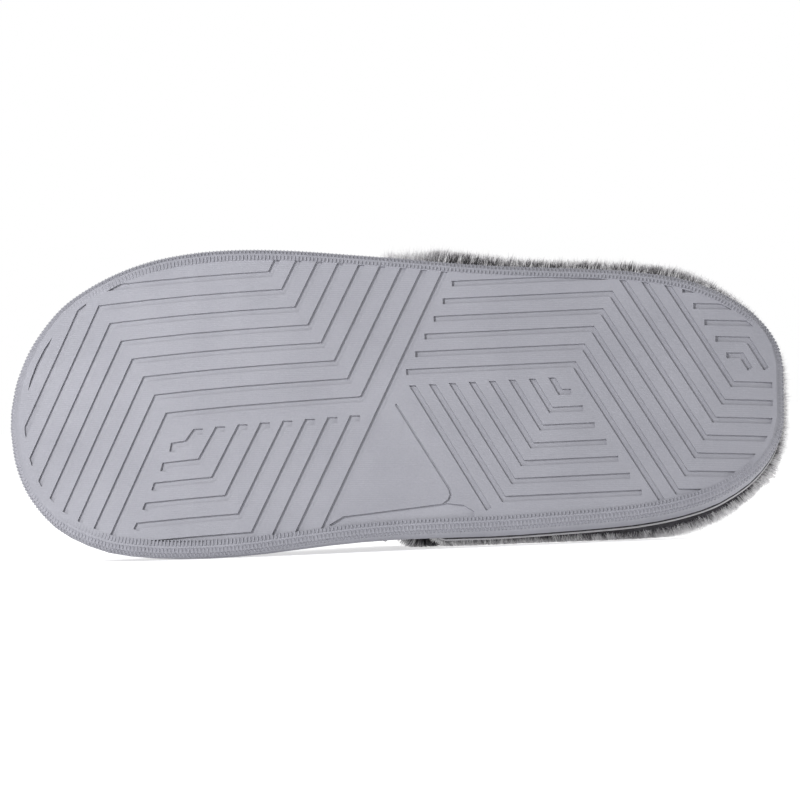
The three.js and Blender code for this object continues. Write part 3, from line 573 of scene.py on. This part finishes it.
# Knurled rim: rows of short ribs across the edge, in alternate steps. The first row widens by its
# toe gain over the forefoot. A rib's foot is sunk in the sole and its top is smaller than its foot.
RIB_PITCH = 1.25
RIB_SUNK = 0.25
RIB_TOP_SHARE = 0.55
RIB_TOP_INSET = 0.2
TOE_GAIN_START = 0.5
TOE_GAIN_RUN = 0.3
KNURL_ROWS = [
    {"inner": 3.8, "inner_rise": 0, "outer": 2.45, "outer_rise": 0, "offset": 0,
     "toe_gain": 0.9, "width": 0.73, "height": 0.58},
    {"inner": 2.15, "inner_rise": 0.25, "outer": 0.8, "outer_rise": 1.2, "offset": 0.5,
     "toe_gain": 0, "width": 0.73, "height": 0.64},
    {"inner": 0.6, "inner_rise": 1.65, "outer": 0.1, "outer_rise": 2.9, "offset": 0,
     "toe_gain": 0, "width": 0.66, "height": 0.38},
    {"inner": 0.05, "inner_rise": 3.4, "outer": 0.0, "outer_rise": 4.5, "offset": 0.5,
     "toe_gain": 0, "width": 0.66, "height": 0.33},
]


def knurl():
    points, faces = [], []
    base = outline_loop(RIB_PITCH)
    for row in KNURL_ROWS:
        loop = base + row["offset"] * (np.roll(base, -1, axis=0) - base)
        out = unit(loop[:, 2:4])
        for at in range(len(loop)):
            x, y = loop[at, :2]
            across = np.array([out[at, 0], out[at, 1], 0.0])
            run = np.array([-out[at, 1], out[at, 0], 0.0])
            ground = float(ground_height(x))
            gain = row["toe_gain"] * float(smooth_step((x / SOLE_LENGTH - TOE_GAIN_START) / TOE_GAIN_RUN))
            start = np.array([x, y, ground]) - across * (row["inner"] + gain)
            end = np.array([x, y, ground]) - across * row["outer"]
            start[2] += row["inner_rise"]
            end[2] += row["outer_rise"]
            slope = unit(end - start)
            face = unit(np.cross(slope, run))
            if face[2] > 0:
                face = -face
            index = len(points)
            half = row["width"] / 2
            foot, top = (-RIB_SUNK, 1.0, 0.0), (row["height"], RIB_TOP_SHARE, RIB_TOP_INSET)
            for lift, shrink, inset in (foot, top):
                for place, sign in ((start, -1), (start, 1), (end, 1), (end, -1)):
                    toward = slope if place is start else -slope
                    points.append(place + toward * inset + run * sign * half * shrink + face * lift)
            faces += [(index + 4, index + 5, index + 6, index + 7)]
            for corner in range(4):
                after = (corner + 1) % 4
                faces.append((index + corner, index + after, index + 4 + after, index + 4 + corner))
    return mesh_piece("rim_knurl", np.array(points), faces, rubber, smooth=False)


settle(knurl())

# Insole board with its bound edge. Under the edge its first rings are painted nearly black round the
# heel half: painted shade for the gap between the board and the sole. Under the vamp the board stays
# this clear of the wall.
SHADE_GAP_RINGS = 3
BOARD_CLEAR = 0.5


def insole_board():
    """Rings from the painted shade gap up over the edge: inset behind the throat, inset under the vamp,
    height.
    """
    loop = outline_loop()
    inside = FEATHER_INSET + VAMP_WALL + BOARD_CLEAR
    profile = [
        (4.0, inside + 2, 0.05), (0.75, inside + 0.9, 0.1), (0.6, inside + 0.4, 0.55),
        (0.15, inside, 0.9), (-0.05, inside, 1.3), (-0.05, inside, 2.5), (0.1, inside + 0.3, 3.1),
        (0.7, inside + 0.7, 3.45), (1.8, inside + 1.2, 3.55), (4.0, inside + 3, 3.6),
    ]
    rings = []
    for open_inset, covered_inset, height in profile:
        inset = open_inset + (covered_inset - open_inset) * covered_share(loop[:, 0], loop[:, 4])
        rings.append(ring_of(loop, inset, lambda x, h=height: sole_top(x) + PIECE_GAP + h))
    count = len(loop)
    points = np.vstack(rings)
    faces = grid_faces(len(rings), count)
    faces += [quad[::-1] for quad in cap_faces(0, count)]
    faces += cap_faces((len(rings) - 1) * count, count)
    piece = mesh_piece("insole_edge", points, faces, binding)
    # The first rings take the nearly black backing: painted shade in the gap between board and sole.
    piece.data.materials.append(backing_and_gap_shade)
    for face in piece.data.polygons[:SHADE_GAP_RINGS * count]:
        face.material_index = 1
    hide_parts("insole_board")
    return piece


settle(insole_board())


# Footbed: a dark backing body under the hairs, its lowest height over the floor in metres, how
# clear of the vamp's wall it stays, and the shares of the length where its toe draws in.
BED_PITCH = 2.0
BED_FLOOR = 0.0026
BED_CLEAR = 0.6
BED_TOE_START = 0.84
BED_TOE_RUN = 0.12
PILE_RINGS = [
    # open height, inset, bulge, covered height, covered inset, toe inset
    (0.02, 3.0, 0, 0.0, 0.4, 1), (-0.06, 1.4, 0.5, 0.05, 0.4, 1.2), (0.04, 1.0, 0.92, 0.12, 0.4, 1.5),
    (0.34, 1.0, 1.0, 0.34, 1.0, 3), (0.62, 1.4, 0.9, 0.46, 1.8, 4), (0.84, 2.6, 0.66, 0.54, 3, 5),
    (0.95, 6, 0.2, 0.6, 6, 6), (0.95, 14, 0.0, 0.62, 13, 8), (0.93, 26, 0.0, 0.62, 26, 8),
]


def pile_skin(loop):
    """Rings of the footbed from its underside up over its edge to near its middle."""
    inside = FEATHER_INSET + VAMP_WALL + BED_CLEAR
    rings = []
    share = covered_share(loop[:, 0], loop[:, 4])
    reach = overhang(loop[:, 0], loop[:, 4]) * throat_fade(loop[:, 0], loop[:, 4])
    toe = np.clip((loop[:, 0] / SOLE_LENGTH - BED_TOE_START) / BED_TOE_RUN, 0, 1)
    # Room to the middle line, so that the inner rings don't cross it.
    room = np.abs(loop[:, 1] - midline(loop[:, 0])) * 0.96
    for open_height, inset, bulge, covered_height, covered_inset, toe_inset in PILE_RINGS:
        narrow = np.minimum(inset, room) if inset > 5 else inset
        pulled = narrow - bulge * reach
        hidden = inside + np.minimum(covered_inset, np.maximum(room - inside, 0)) + toe * toe_inset
        height = (open_height + (covered_height - open_height) * share) * PILE_THICKNESS
        at = pulled + (hidden - pulled) * share
        rings.append(ring_of(loop, at, lambda x, h=height: pile_base(np.clip(x, 0, SOLE_LENGTH)) + h))
    return np.array(rings)


def footbed_body():
    loop = outline_loop(BED_PITCH)
    rings = pile_skin(loop)
    count = len(loop)
    faces = grid_faces(len(rings), count) + cap_faces((len(rings) - 1) * count, count)
    piece = mesh_piece("fur_bed", rings.reshape(-1, 3), faces, backing_and_gap_shade)
    placed = np.array([v.co for v in piece.data.vertices])
    placed[:, 2] = np.maximum(placed[:, 2], BED_FLOOR)
    piece.data.vertices.foreach_set("co", placed.astype(np.float32).ravel())
    piece.data.update()
    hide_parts("fur_footbed")
    return piece


settle(footbed_body())


def skin_samples(rings, loop, rows, count, random, keep):
    """Random places on a ringed skin: point, normal, outward direction and side."""
    places = len(loop)
    at = random.random(count * 2) * places
    row = rows[0] + random.random(count * 2) * (rows[1] - rows[0])
    first = np.floor(at).astype(int) % places
    second = (first + 1) % places
    low = np.clip(np.floor(row).astype(int), 0, len(rings) - 2)
    u = (at - np.floor(at))[:, None]
    v = (row - low)[:, None]
    a, b = rings[low, first], rings[low, second]
    c, d = rings[low + 1, first], rings[low + 1, second]
    point = (a * (1 - u) + b * u) * (1 - v) + (c * (1 - u) + d * u) * v
    run = (b - a) * (1 - v) + (d - c) * v
    climb = (c - a) * (1 - u) + (d - b) * u
    normal = np.cross(run, climb)
    size = np.linalg.norm(normal, axis=1)
    normal /= np.maximum(size, 1e-9)[:, None]
    outward = loop[first, 2:4]
    side = loop[first, 4]
    index = np.nonzero((size > 1e-6) & keep(point, side))[0]
    weight = size[index] / size[index].max()
    index = index[random.random(len(index)) < np.maximum(weight, 0.15)][:count]
    return point[index], normal[index], outward[index], side[index]


def clump_towards(points, tips, hairs_a_lock, pull, random):
    """Pulls hair tips together in locks: each hair joins the nearest of some roots picked at
    random. Gives the new tips and the number of each hair's lock."""
    picked = random.choice(len(points), len(points) // hairs_a_lock, replace=False)
    tree = KDTree(len(picked))
    for number, index in enumerate(picked):
        tree.insert(points[index], number)
    tree.balance()
    group = np.array([tree.find(point)[1] for point in points])
    total = np.zeros((len(picked), 3))
    number = np.zeros(len(picked))
    np.add.at(total, group, tips)
    np.add.at(number, group, 1)
    mean = total / number[:, None]
    return tips + (mean[group] - tips) * pull, group


def lock_tones(group, seed):
    return np.random.default_rng(seed).random(group.max() + 1)[group]


def loose_bend(scale, drift):
    """A rule that bends each hair at random, and all of them by a drift."""
    return lambda random, count: random.normal(scale=scale, size=(count, 3)) + np.array(drift)


def combed_bend(random, count):
    """The bend of the pile's top hairs, downwards at their tips."""
    return np.column_stack([
        random.normal(scale=0.08, size=count), random.normal(scale=0.08, size=count),
        -0.2 + random.normal(scale=0.06, size=count),
    ])


def grow_locks(name, seed, random, point, root, tip, lock, bend, width, paler=0.0):
    """Frosted hairs drawn together in locks. A lock is its number of hairs and its pull."""
    tip, group = clump_towards(point, tip, *lock, random)
    aim = tip - root
    length = np.linalg.norm(aim, axis=1)
    bends = bend(random, len(root))
    widths = width * (0.7 + 0.6 * random.random(len(root)))
    tone = lock_tones(group, seed + 1) + paler
    return grow_hair(name, frosted, root, aim, bends, length, widths, tone, seed + 2)


# Share by which the hairs next to the throat are longer on the outer side and shorter on the
# inner side, where they are pressed under the slipper.
THROAT_GAIN = 0.5
# How much paler the loose hairs of the edge are than those of the pile's top.
OUTER_PALER = 0.1


def fringe(name, count, seed, rows, long, lead):
    """Hairs that stand out past the sole's edge round the heel half."""
    random = np.random.default_rng(seed)
    loop = outline_loop()
    samples = skin_samples(pile_skin(loop), loop, rows, count * 3, random,
                           lambda point, side: point[:, 0] < throat_place(side) - lead)
    point, normal, outward, side = (part[:count] for part in samples)
    number = len(point)
    out = np.column_stack([outward, np.zeros(number)])
    flip = np.sign((normal * out).sum(1) + 0.3 * normal[:, 2])
    normal = normal * flip[:, None]
    near_throat = 1 - throat_fade(point[:, 0], side)
    aim = unit(0.9 * out + 0.35 * normal + random.normal(scale=0.2, size=(number, 3)))
    length = long * (0.5 + 0.65 * random.random(number) ** 1.4)
    length *= 1 + np.where(side > 0, THROAT_GAIN, -THROAT_GAIN) * near_throat
    root = point - 1.0 * normal
    tip = root + aim * length[:, None]
    return grow_locks(name, seed, random, point, root, tip, lock=(26, 0.3),
                      bend=loose_bend(0.1, (-0.05, 0, -0.06)), width=0.165, paler=OUTER_PALER)


settle(fringe("fur_fringe_outer", 39000, seed=11, rows=(1.0, 4.0), long=4.3, lead=1.0))
settle(fringe("fur_fringe_upper", 22500, seed=23, rows=(4.0, 6.0), long=5.4, lead=2.0))

# The tuft behind the vamp's outer corner: how far it runs along the edge, and how far its tips
# stand past the edge at the corner and at the other end.
TUFT_RUN = 19
TUFT_REACH = (7.1, 9.4)


def corner_tuft(name, count, seed):
    """Soft hairs where the collar comes down to the footbed at the outer side."""
    random = np.random.default_rng(seed)
    share = random.random(count)
    x = THROAT_LATERAL * SOLE_LENGTH + 1.5 - TUFT_RUN * share
    inset = 2.5 + 2.5 * random.random(count)
    edge = edge_across(lateral_edge, x)
    root = np.column_stack([x, edge - inset, pile_base(x) + 0.3 + 4 * random.random(count)])
    reach = TUFT_REACH[0] + (TUFT_REACH[1] - TUFT_REACH[0]) * smooth_step(share)
    reach = inset + reach * (0.6 + 0.45 * random.random(count))
    aim = np.column_stack([
        -0.12 + random.normal(scale=0.16, size=count), np.ones(count),
        random.normal(scale=0.2, size=count),
    ])
    tip = root + aim * reach[:, None]
    return grow_locks(name, seed, random, root, root, tip, lock=(24, 0.25),
                      bend=loose_bend(0.08, (-0.05, 0, -0.05)), width=0.2, paler=-0.05)


settle(corner_tuft("fur_corner_tuft", 4500, seed=71))

# How far from the heel the footbed's flanks still show in the mouth.
MOUTH_REACH = 178


def in_mouth(point, side):
    return (covered_share(point[:, 0], side) > 0.1) & (point[:, 0] < MOUTH_REACH)


def pile_flank(name, count, seed):
    """Hairs on the sloping sides of the footbed where it goes in under the vamp."""
    random = np.random.default_rng(seed)
    loop = outline_loop()
    samples = skin_samples(pile_skin(loop), loop, (2.5, 6.5), count * 12, random, in_mouth)
    point, normal = (part[:count] for part in samples[:2])
    number = len(point)
    normal = normal * np.sign(normal[:, 2])[:, None]
    aim = unit(0.5 * normal + np.array([-0.7, 0, 0.35]) + random.normal(scale=0.18, size=(number, 3)))
    root = point - 0.8 * normal
    tip = root + aim * (5.5 * (0.7 + 0.5 * random.random(number)))[:, None]
    return grow_locks(name, seed, random, point, root, tip, lock=(30, 0.4),
                      bend=loose_bend(0.08, (0, 0, 0)), width=0.34)


settle(pile_flank("fur_pile_flank", 4500, seed=97))


def top_pile(name, count, seed, first, last):
    """Long hairs of the footbed's top, combed towards the heel."""
    random = np.random.default_rng(seed)
    x = (first + (last - first) * random.random(count)) * SOLE_LENGTH
    lateral = edge_across(lateral_edge, x)
    medial = edge_across(medial_edge, x)
    share = random.random(count)
    middle = (lateral + medial) / 2
    covered = np.maximum(covered_share(x, 1.0), covered_share(x, -1.0))
    half = (lateral - medial) / 2 - 3 - covered * 6
    y = middle + half * (2 * share - 1)
    crown = 1 - ((y - middle) / np.maximum(half, 1)) ** 6
    height = (0.95 - 0.33 * covered) * PILE_THICKNESS
    z = pile_base(x) + height - 1.5 * (1 - crown)
    point = np.column_stack([x, y, z])
    root = point - np.array([0, 0, 1.2])
    comb = unit(np.column_stack([
        -0.75 + random.normal(scale=0.18, size=count),
        0.25 * (y - middle) / 45 + random.normal(scale=0.25, size=count),
        0.55 + random.normal(scale=0.14, size=count),
    ]))
    length = 9.0 * (0.75 + 0.5 * random.random(count)) * (1 - 0.35 * covered)
    swirl = 0.16 * np.sin(x / 13 + 0.5 * np.sin(y / 9)) + 0.12 * np.sin(y / 7 + x / 31)
    comb[:, 1] += swirl
    tip = root + comb * length[:, None]
    return grow_locks(name, seed, random, point, root, tip, lock=(38, 0.5), bend=combed_bend, width=0.36)


settle(top_pile("fur_pile_heel", 34000, seed=37, first=0.02, last=0.30))
settle(top_pile("fur_pile_waist", 34000, seed=41, first=0.29, last=0.66))


# Vamp: the same rib and ridge rule as its solid, on a finer grid.
RIM_COLUMNS = 88
RIB_ROWS = 28


def feather_place(edge, side, along):
    if along >= 1:
        return SOLE_LENGTH - FEATHER_INSET, float(midline(SOLE_LENGTH))
    x = along * SOLE_LENGTH
    step = min(0.5, SOLE_LENGTH - x, x)
    slope = (edge_across(edge, x + step) - edge_across(edge, x - step)) / (2 * step)
    run = math.hypot(1, slope)
    return (x + FEATHER_INSET * side * slope / run,
            float(edge_across(edge, x)) - FEATHER_INSET * side / run)


def ridge_rise(along):
    """Smooth curve through the ridge's rows."""
    rows = np.array(RIDGE)
    slopes = np.gradient(rows[:, 1], rows[:, 0])
    slopes[-1] = 0
    at = int(np.clip(np.searchsorted(rows[:, 0], along) - 1, 0, len(rows) - 2))
    span = rows[at + 1, 0] - rows[at, 0]
    t = float(np.clip((along - rows[at, 0]) / span, 0, 1))
    return ((2 * t ** 3 - 3 * t ** 2 + 1) * rows[at, 1] + (t ** 3 - 2 * t ** 2 + t) * span * slopes[at]
            + (3 * t ** 2 - 2 * t ** 3) * rows[at + 1, 1] + (t ** 3 - t ** 2) * span * slopes[at + 1])


def vamp_half(edge, start, side):
    grid = np.zeros((RIM_COLUMNS + 1, RIB_ROWS + 1, 3))
    for at in range(RIM_COLUMNS + 1):
        share = at / RIM_COLUMNS
        along = start + (1 - start) * (0.3 * share + 0.7 * math.sin(share * math.pi / 2))
        foot_x, foot_y = feather_place(edge, side, along)
        ridge_along = RIDGE[0][0] + (RIDGE[-1][0] - RIDGE[0][0]) * share
        ridge_x = ridge_along * SOLE_LENGTH
        ridge_y = float(midline(ridge_x)) + RIDGE_SHIFT
        ridge_z = TOE_BOX_HEIGHT + (INSTEP_HEIGHT - TOE_BOX_HEIGHT) * ridge_rise(ridge_along)
        foot_z = float(sole_top(foot_x)) + PIECE_GAP
        angle = np.linspace(0, math.pi / 2, RIB_ROWS + 1)
        over = 1 - np.clip(np.cos(angle), 0, 1) ** 0.95
        climb = np.sin(angle) ** 0.92
        grid[at, :, 0] = foot_x + (ridge_x - foot_x) * over
        grid[at, :, 1] = foot_y + (ridge_y - foot_y) * over
        grid[at, :, 2] = foot_z + (ridge_z - foot_z) * climb
    return grid


outer_half = vamp_half(lateral_edge, THROAT_LATERAL, 1)
inner_half = vamp_half(medial_edge, THROAT_MEDIAL, -1)
# Ribs run from the outer feather line over the ridge to the inner feather line.
vamp_grid = np.concatenate([outer_half, inner_half[:, -2::-1]], axis=1)


def grid_normals(grid):
    along = np.gradient(grid, axis=0)
    over = np.gradient(grid, axis=1)
    normal = np.cross(along, over)
    size = np.linalg.norm(normal, axis=2)
    normal /= np.maximum(size, 1e-9)[:, :, None]
    normal[-1] = normal[-2]
    if normal[2, RIB_ROWS][2] < 0:
        normal = -normal
    return normal


vamp_normal = grid_normals(vamp_grid)


def soft_wave(grid, size, pitch):
    """Slow uneven swell of a fabric skin, in millimetres."""
    x, y, z = grid[..., 0] / pitch, grid[..., 1] / pitch, grid[..., 2] / pitch
    return size * (np.sin(1.7 * x + 0.6 * np.sin(1.3 * y)) * np.cos(1.1 * y + 0.7 * z)
                   + 0.5 * np.sin(3.1 * x - 2.3 * z + 0.8 * np.sin(2.1 * y)))


PUCKER_DEPTH = 0.4
PUCKERS_A_SIDE = 17


def lasting_puckers(rows, across):
    """Small pleats over the feather line round the toe, where the cloth is drawn in."""
    share = np.linspace(0, 1, rows)[:, None]
    from_edge = np.minimum(np.arange(across), across - 1 - np.arange(across))[None, :]
    at_toe = smooth_step((share - 0.45) / 0.3) * (1 - share ** 10)
    fade = np.exp(-from_edge / 4) * np.clip(from_edge / 2, 0, 1)
    wave = np.sin(2 * math.pi * PUCKERS_A_SIDE * share + 0.9 * np.sin(19 * share))
    return PUCKER_DEPTH * at_toe * fade * wave


def vamp_shell():
    rows, across = vamp_grid.shape[:2]
    edge_fade = np.clip(np.minimum(np.arange(across), across - 1 - np.arange(across)) / 6, 0, 1)
    swell = soft_wave(vamp_grid, 0.3, 11) * edge_fade[None, :] + lasting_puckers(rows, across)
    outer = vamp_grid + vamp_normal * (swell - 0.25)[:, :, None]
    inner = vamp_grid - vamp_normal * VAMP_WALL
    for skin in (outer, inner):
        skin[:, [0, -1], 2] = sole_top(skin[:, [0, -1], 0]) + PIECE_GAP
    points = np.concatenate([outer.reshape(-1, 3), inner.reshape(-1, 3)])
    count = rows * across
    faces = []
    for row in range(rows - 1):
        for at in range(across - 1):
            a = row * across + at
            quad = (a, a + 1, a + across + 1, a + across)
            faces.append(quad)
            faces.append(tuple(count + i for i in quad[::-1]))
    throat = list(range(across))
    outer_foot = [row * across for row in range(rows)]
    inner_foot = [row * across + across - 1 for row in range(rows)]
    for line in (throat, outer_foot, inner_foot):
        for a, b in zip(line[:-1], line[1:]):
            faces.append((a, b, b + count, a + count))
    piece = mesh_piece("vamp_shell", points, faces, suede)
    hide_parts("vamp")
    return piece


settle(vamp_shell())

# Stitching round the throat: distance from the vamp's edge, pitch and size of a stitch.
STITCH_INSET = 8.5
STITCH_PITCH = 3.6
STITCH_LENGTH = 2.5
STITCH_WIDTH = 0.55
STITCH_FACES = [(0, 2, 3), (0, 3, 4), (2, 5, 6, 3), (3, 6, 7, 4), (5, 1, 6), (6, 1, 7)]


def throat_line(inset):
    """Points and normals along the vamp at an even distance from its throat."""
    runs = np.linalg.norm(np.diff(vamp_grid, axis=0), axis=2).cumsum(axis=0)
    places, normals = [], []
    for at in range(2, vamp_grid.shape[1] - 2):
        stations = np.concatenate([[0], runs[:, at]])
        places.append([np.interp(inset, stations, vamp_grid[:, at, axis]) for axis in range(3)])
        row = int(np.searchsorted(stations, inset))
        normals.append(vamp_normal[row, at])
    return np.array(places), np.array(normals)


def throat_stitches():
    places, normals = throat_line(STITCH_INSET)
    runs = np.concatenate([[0], np.linalg.norm(np.diff(places, axis=0), axis=1).cumsum()])
    points, faces = [], []
    for station in np.arange(STITCH_PITCH, runs[-1] - STITCH_PITCH, STITCH_PITCH):
        ends = [np.array([np.interp(station + offset, runs, places[:, axis]) for axis in range(3)])
                for offset in (-STITCH_LENGTH / 2, STITCH_LENGTH / 2)]
        normal = unit(np.array([np.interp(station, runs, normals[:, axis]) for axis in range(3)]))
        side = np.cross(normal, unit(ends[1] - ends[0])) * STITCH_WIDTH / 2
        index = len(points)
        points += [ends[0] - normal * 0.1, ends[1] - normal * 0.1]
        for share in (0.25, 0.75):
            middle = ends[0] + (ends[1] - ends[0]) * share + normal * 0.05
            points += [middle - side, middle + normal * STITCH_WIDTH / 2, middle + side]
        faces += [tuple(index + corner for corner in face) for face in STITCH_FACES]
    return mesh_piece("throat_stitches", np.array(points), faces, thread)


settle(throat_stitches())

# Ribs of the vamp's grid that the lining's plush covers, from the throat forward.
LINING_ROWS = 26


def lining_hair(name, count, seed):
    """Short plush on the inside of the vamp, from the throat forward."""
    random = np.random.default_rng(seed)
    across = vamp_grid.shape[1]
    row = 0.5 + LINING_ROWS * random.random(count) ** 1.3
    at = 2 + (across - 5) * random.random(count)
    low_row, low_at = np.floor(row).astype(int), np.floor(at).astype(int)
    u, v = (row - low_row)[:, None], (at - low_at)[:, None]
    inside = vamp_grid - vamp_normal * (VAMP_WALL - 0.1)
    point = ((inside[low_row, low_at] * (1 - v) + inside[low_row, low_at + 1] * v) * (1 - u)
             + (inside[low_row + 1, low_at] * (1 - v) + inside[low_row + 1, low_at + 1] * v) * u)
    normal = -vamp_normal[low_row, low_at]
    aim = normal + np.array([-0.5, 0, 0]) + random.normal(scale=0.3, size=(count, 3))
    length = 2.6 * (0.7 + 0.6 * random.random(count))
    bend = random.normal(scale=0.12, size=(count, 3))
    width = 0.42 * (0.7 + 0.6 * random.random(count))
    return grow_hair(name, plush, point, aim, bend, length, width, random.random(count), seed + 1)


settle(lining_hair("lining_plush", 9500, seed=83))

# Collar: a dark roll and the hairs that stand out of it, through the angles of the spread from
# the roll's outer side round its back.
COLLAR_SIDES = 16
COLLAR_SPREAD = (-1.45, math.pi + 0.55)


def collar_path():
    """Rows along the throat: the roll's middle, its outer direction and its back direction."""
    throat = vamp_grid[0]
    middle = np.array([throat[RIB_ROWS][0], throat[RIB_ROWS][1], float(sole_top(throat[0][0]))])
    start = float(pile_base(throat[0][0])) + 0.8 * PILE_THICKNESS
    rows = []
    for at in range(len(throat)):
        point = throat[at]
        if point[2] < start:
            continue
        run = unit(throat[min(at + 1, len(throat) - 1)] - throat[max(at - 1, 0)])
        inward = middle - point
        inward = unit(inward - inward.dot(run) * run)
        back = unit(np.cross(run, inward))
        if back[0] > 0:
            back = -back
        centre = point + inward * VAMP_WALL / 2 + back * (COLLAR_RADIUS + PIECE_GAP)
        rows.append((centre, -inward, back))
    return rows


collar_rows = collar_path()


def collar_roll():
    points = []
    for at, (centre, out, back) in enumerate(collar_rows):
        from_end = min(at, len(collar_rows) - 1 - at)
        size = (COLLAR_RADIUS - 1.2) * (0.55 + 0.45 * smooth_step(from_end / 4))
        for side in range(COLLAR_SIDES):
            angle = 2 * math.pi * side / COLLAR_SIDES
            points.append(centre + size * (out * math.cos(angle) + back * math.sin(angle)))
    faces = grid_faces(len(collar_rows), COLLAR_SIDES)
    faces.append(tuple(range(COLLAR_SIDES)))
    faces.append(tuple(reversed(range(len(points) - COLLAR_SIDES, len(points)))))
    piece = mesh_piece("collar_roll", np.array(points), faces, backing_and_gap_shade)
    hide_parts("fur_collar")
    return piece


settle(collar_roll())


def collar_hair(name, count, seed):
    random = np.random.default_rng(seed)
    parts = [np.array([row[part] for row in collar_rows]) for part in range(3)]
    at = random.random(count) * (len(collar_rows) - 1)
    low = np.floor(at).astype(int)
    u = (at - low)[:, None]
    centre, out, back = (part[low] * (1 - u) + part[low + 1] * u for part in parts)
    angle = random.uniform(*COLLAR_SPREAD, count)
    radial = out * np.cos(angle)[:, None] + back * np.sin(angle)[:, None]
    point = centre + radial * (COLLAR_RADIUS - 1.4)
    root = point - radial * 0.6
    # Hairs of the front stand out over the vamp's edge, those behind it lean to the heel.
    front = np.clip(-angle / 0.6, 0, 1)[:, None]
    aim = radial + 0.3 * (1 - front) * back + 0.5 * front * out
    aim = unit(aim + random.normal(scale=0.24, size=(count, 3)))
    length = 6.4 * (0.7 + 0.5 * random.random(count))
    tip = root + aim * length[:, None]
    return grow_locks(name, seed, random, point, root, tip, lock=(30, 0.4),
                      bend=loose_bend(0.1, (-0.1, 0, -0.12)), width=0.32)


settle(collar_hair("fur_collar_hair", 30000, seed=53))


# Stage, light and camera.
FLOOR_REACH = 6
FLOOR_GLOW = 0.55
SKY_LEVEL = 0.5
HORIZON_BAND = 0.1


def floor_plane():
    """White floor, lit a little from below as a light table is."""
    mesh = bpy.data.meshes.new("floor")
    corners = [(-1, -1), (1, -1), (1, 1), (-1, 1)]
    mesh.from_pydata([(x * FLOOR_REACH, y * FLOOR_REACH, 0) for x, y in corners], [], [(0, 1, 2, 3)])
    material, tree, shader = new_material("floor", 0.9)
    shader.inputs["Base Color"].default_value = (0.93, 0.93, 0.93, 1)
    shader.inputs["Specular IOR Level"].default_value = 0.1
    shader.inputs["Emission Color"].default_value = (1, 1, 1, 1)
    shader.inputs["Emission Strength"].default_value = FLOOR_GLOW
    mesh.materials.append(material)
    floor = place_object("floor", mesh)


floor_plane()


def studio_world():
    """White all round at the level of the floor's horizon, dimmer overhead."""
    world = bpy.data.worlds.new("studio")
    world.use_nodes = True
    tree = world.node_tree
    direction = add_node(tree, "ShaderNodeTexCoord").outputs["Generated"]
    height = maths(tree, "ABSOLUTE", along_axis(tree, direction, (0, 0, 1)))
    level = ramp(tree, height, (HORIZON_BAND, WHITE), (3 * HORIZON_BAND, (SKY_LEVEL,) * 3))
    background = tree.nodes["Background"]
    tree.links.new(level, background.inputs["Color"])
    background.inputs["Strength"].default_value = 1.0
    bpy.context.scene.world = world


studio_world()
bpy.context.scene.view_settings.view_transform = "Standard"


def area_light(name, place, aim, size, energy):
    data = bpy.data.lights.new(name, "AREA")
    data.shape = "DISK"
    data.size = size
    data.energy = energy
    light = place_object(name, data)
    light.location = place
    light.rotation_euler = (Vector(aim) - Vector(place)).to_track_quat("-Z", "Y").to_euler()


area_light("key", (-0.35, -0.52, 0.28), (-0.05, 0.0, 0.05), 0.12, 2.95)
area_light("fill", (0.5, 0.9, 0.7), (0.0, 0.0, 0.05), 0.6, 8.0)

# The photograph's view: almost level with the floor, and rolled a little.
CAMERA_AZIMUTH = -0.449
CAMERA_ELEVATION = 0.125
CAMERA_ROLL = -2.3
CAMERA_DISTANCE = 1.5
CAMERA_TARGET = Vector((0, 0, 0.051))
FOCAL_PIXELS = 4434.65
PICTURE_SIZE = 800
PICTURE_CENTRE = (404.17, 396.16)
SENSOR = 36

azimuth, elevation, roll = (math.radians(a) for a in (CAMERA_AZIMUTH, CAMERA_ELEVATION, CAMERA_ROLL))
forward = Vector((math.sin(azimuth) * math.cos(elevation),
                  math.cos(azimuth) * math.cos(elevation), -math.sin(elevation)))
level = Vector((math.cos(azimuth), -math.sin(azimuth), 0))
upright = level.cross(forward)
right = math.cos(roll) * level + math.sin(roll) * upright
upper = -math.sin(roll) * level + math.cos(roll) * upright
camera_data = bpy.data.cameras.new("camera")
camera_data.sensor_width = SENSOR
camera_data.lens = FOCAL_PIXELS / PICTURE_SIZE * SENSOR
camera_data.shift_x = -(PICTURE_CENTRE[0] - PICTURE_SIZE / 2) / PICTURE_SIZE
camera_data.shift_y = (PICTURE_CENTRE[1] - PICTURE_SIZE / 2) / PICTURE_SIZE
camera_data.clip_start = 0.05
camera_data.clip_end = 40
camera = place_object("camera", camera_data)
turn = Matrix((right, upper, -forward)).transposed().to_4x4()
camera.matrix_world = Matrix.Translation(CAMERA_TARGET - CAMERA_DISTANCE * forward) @ turn
bpy.context.scene.camera = camera
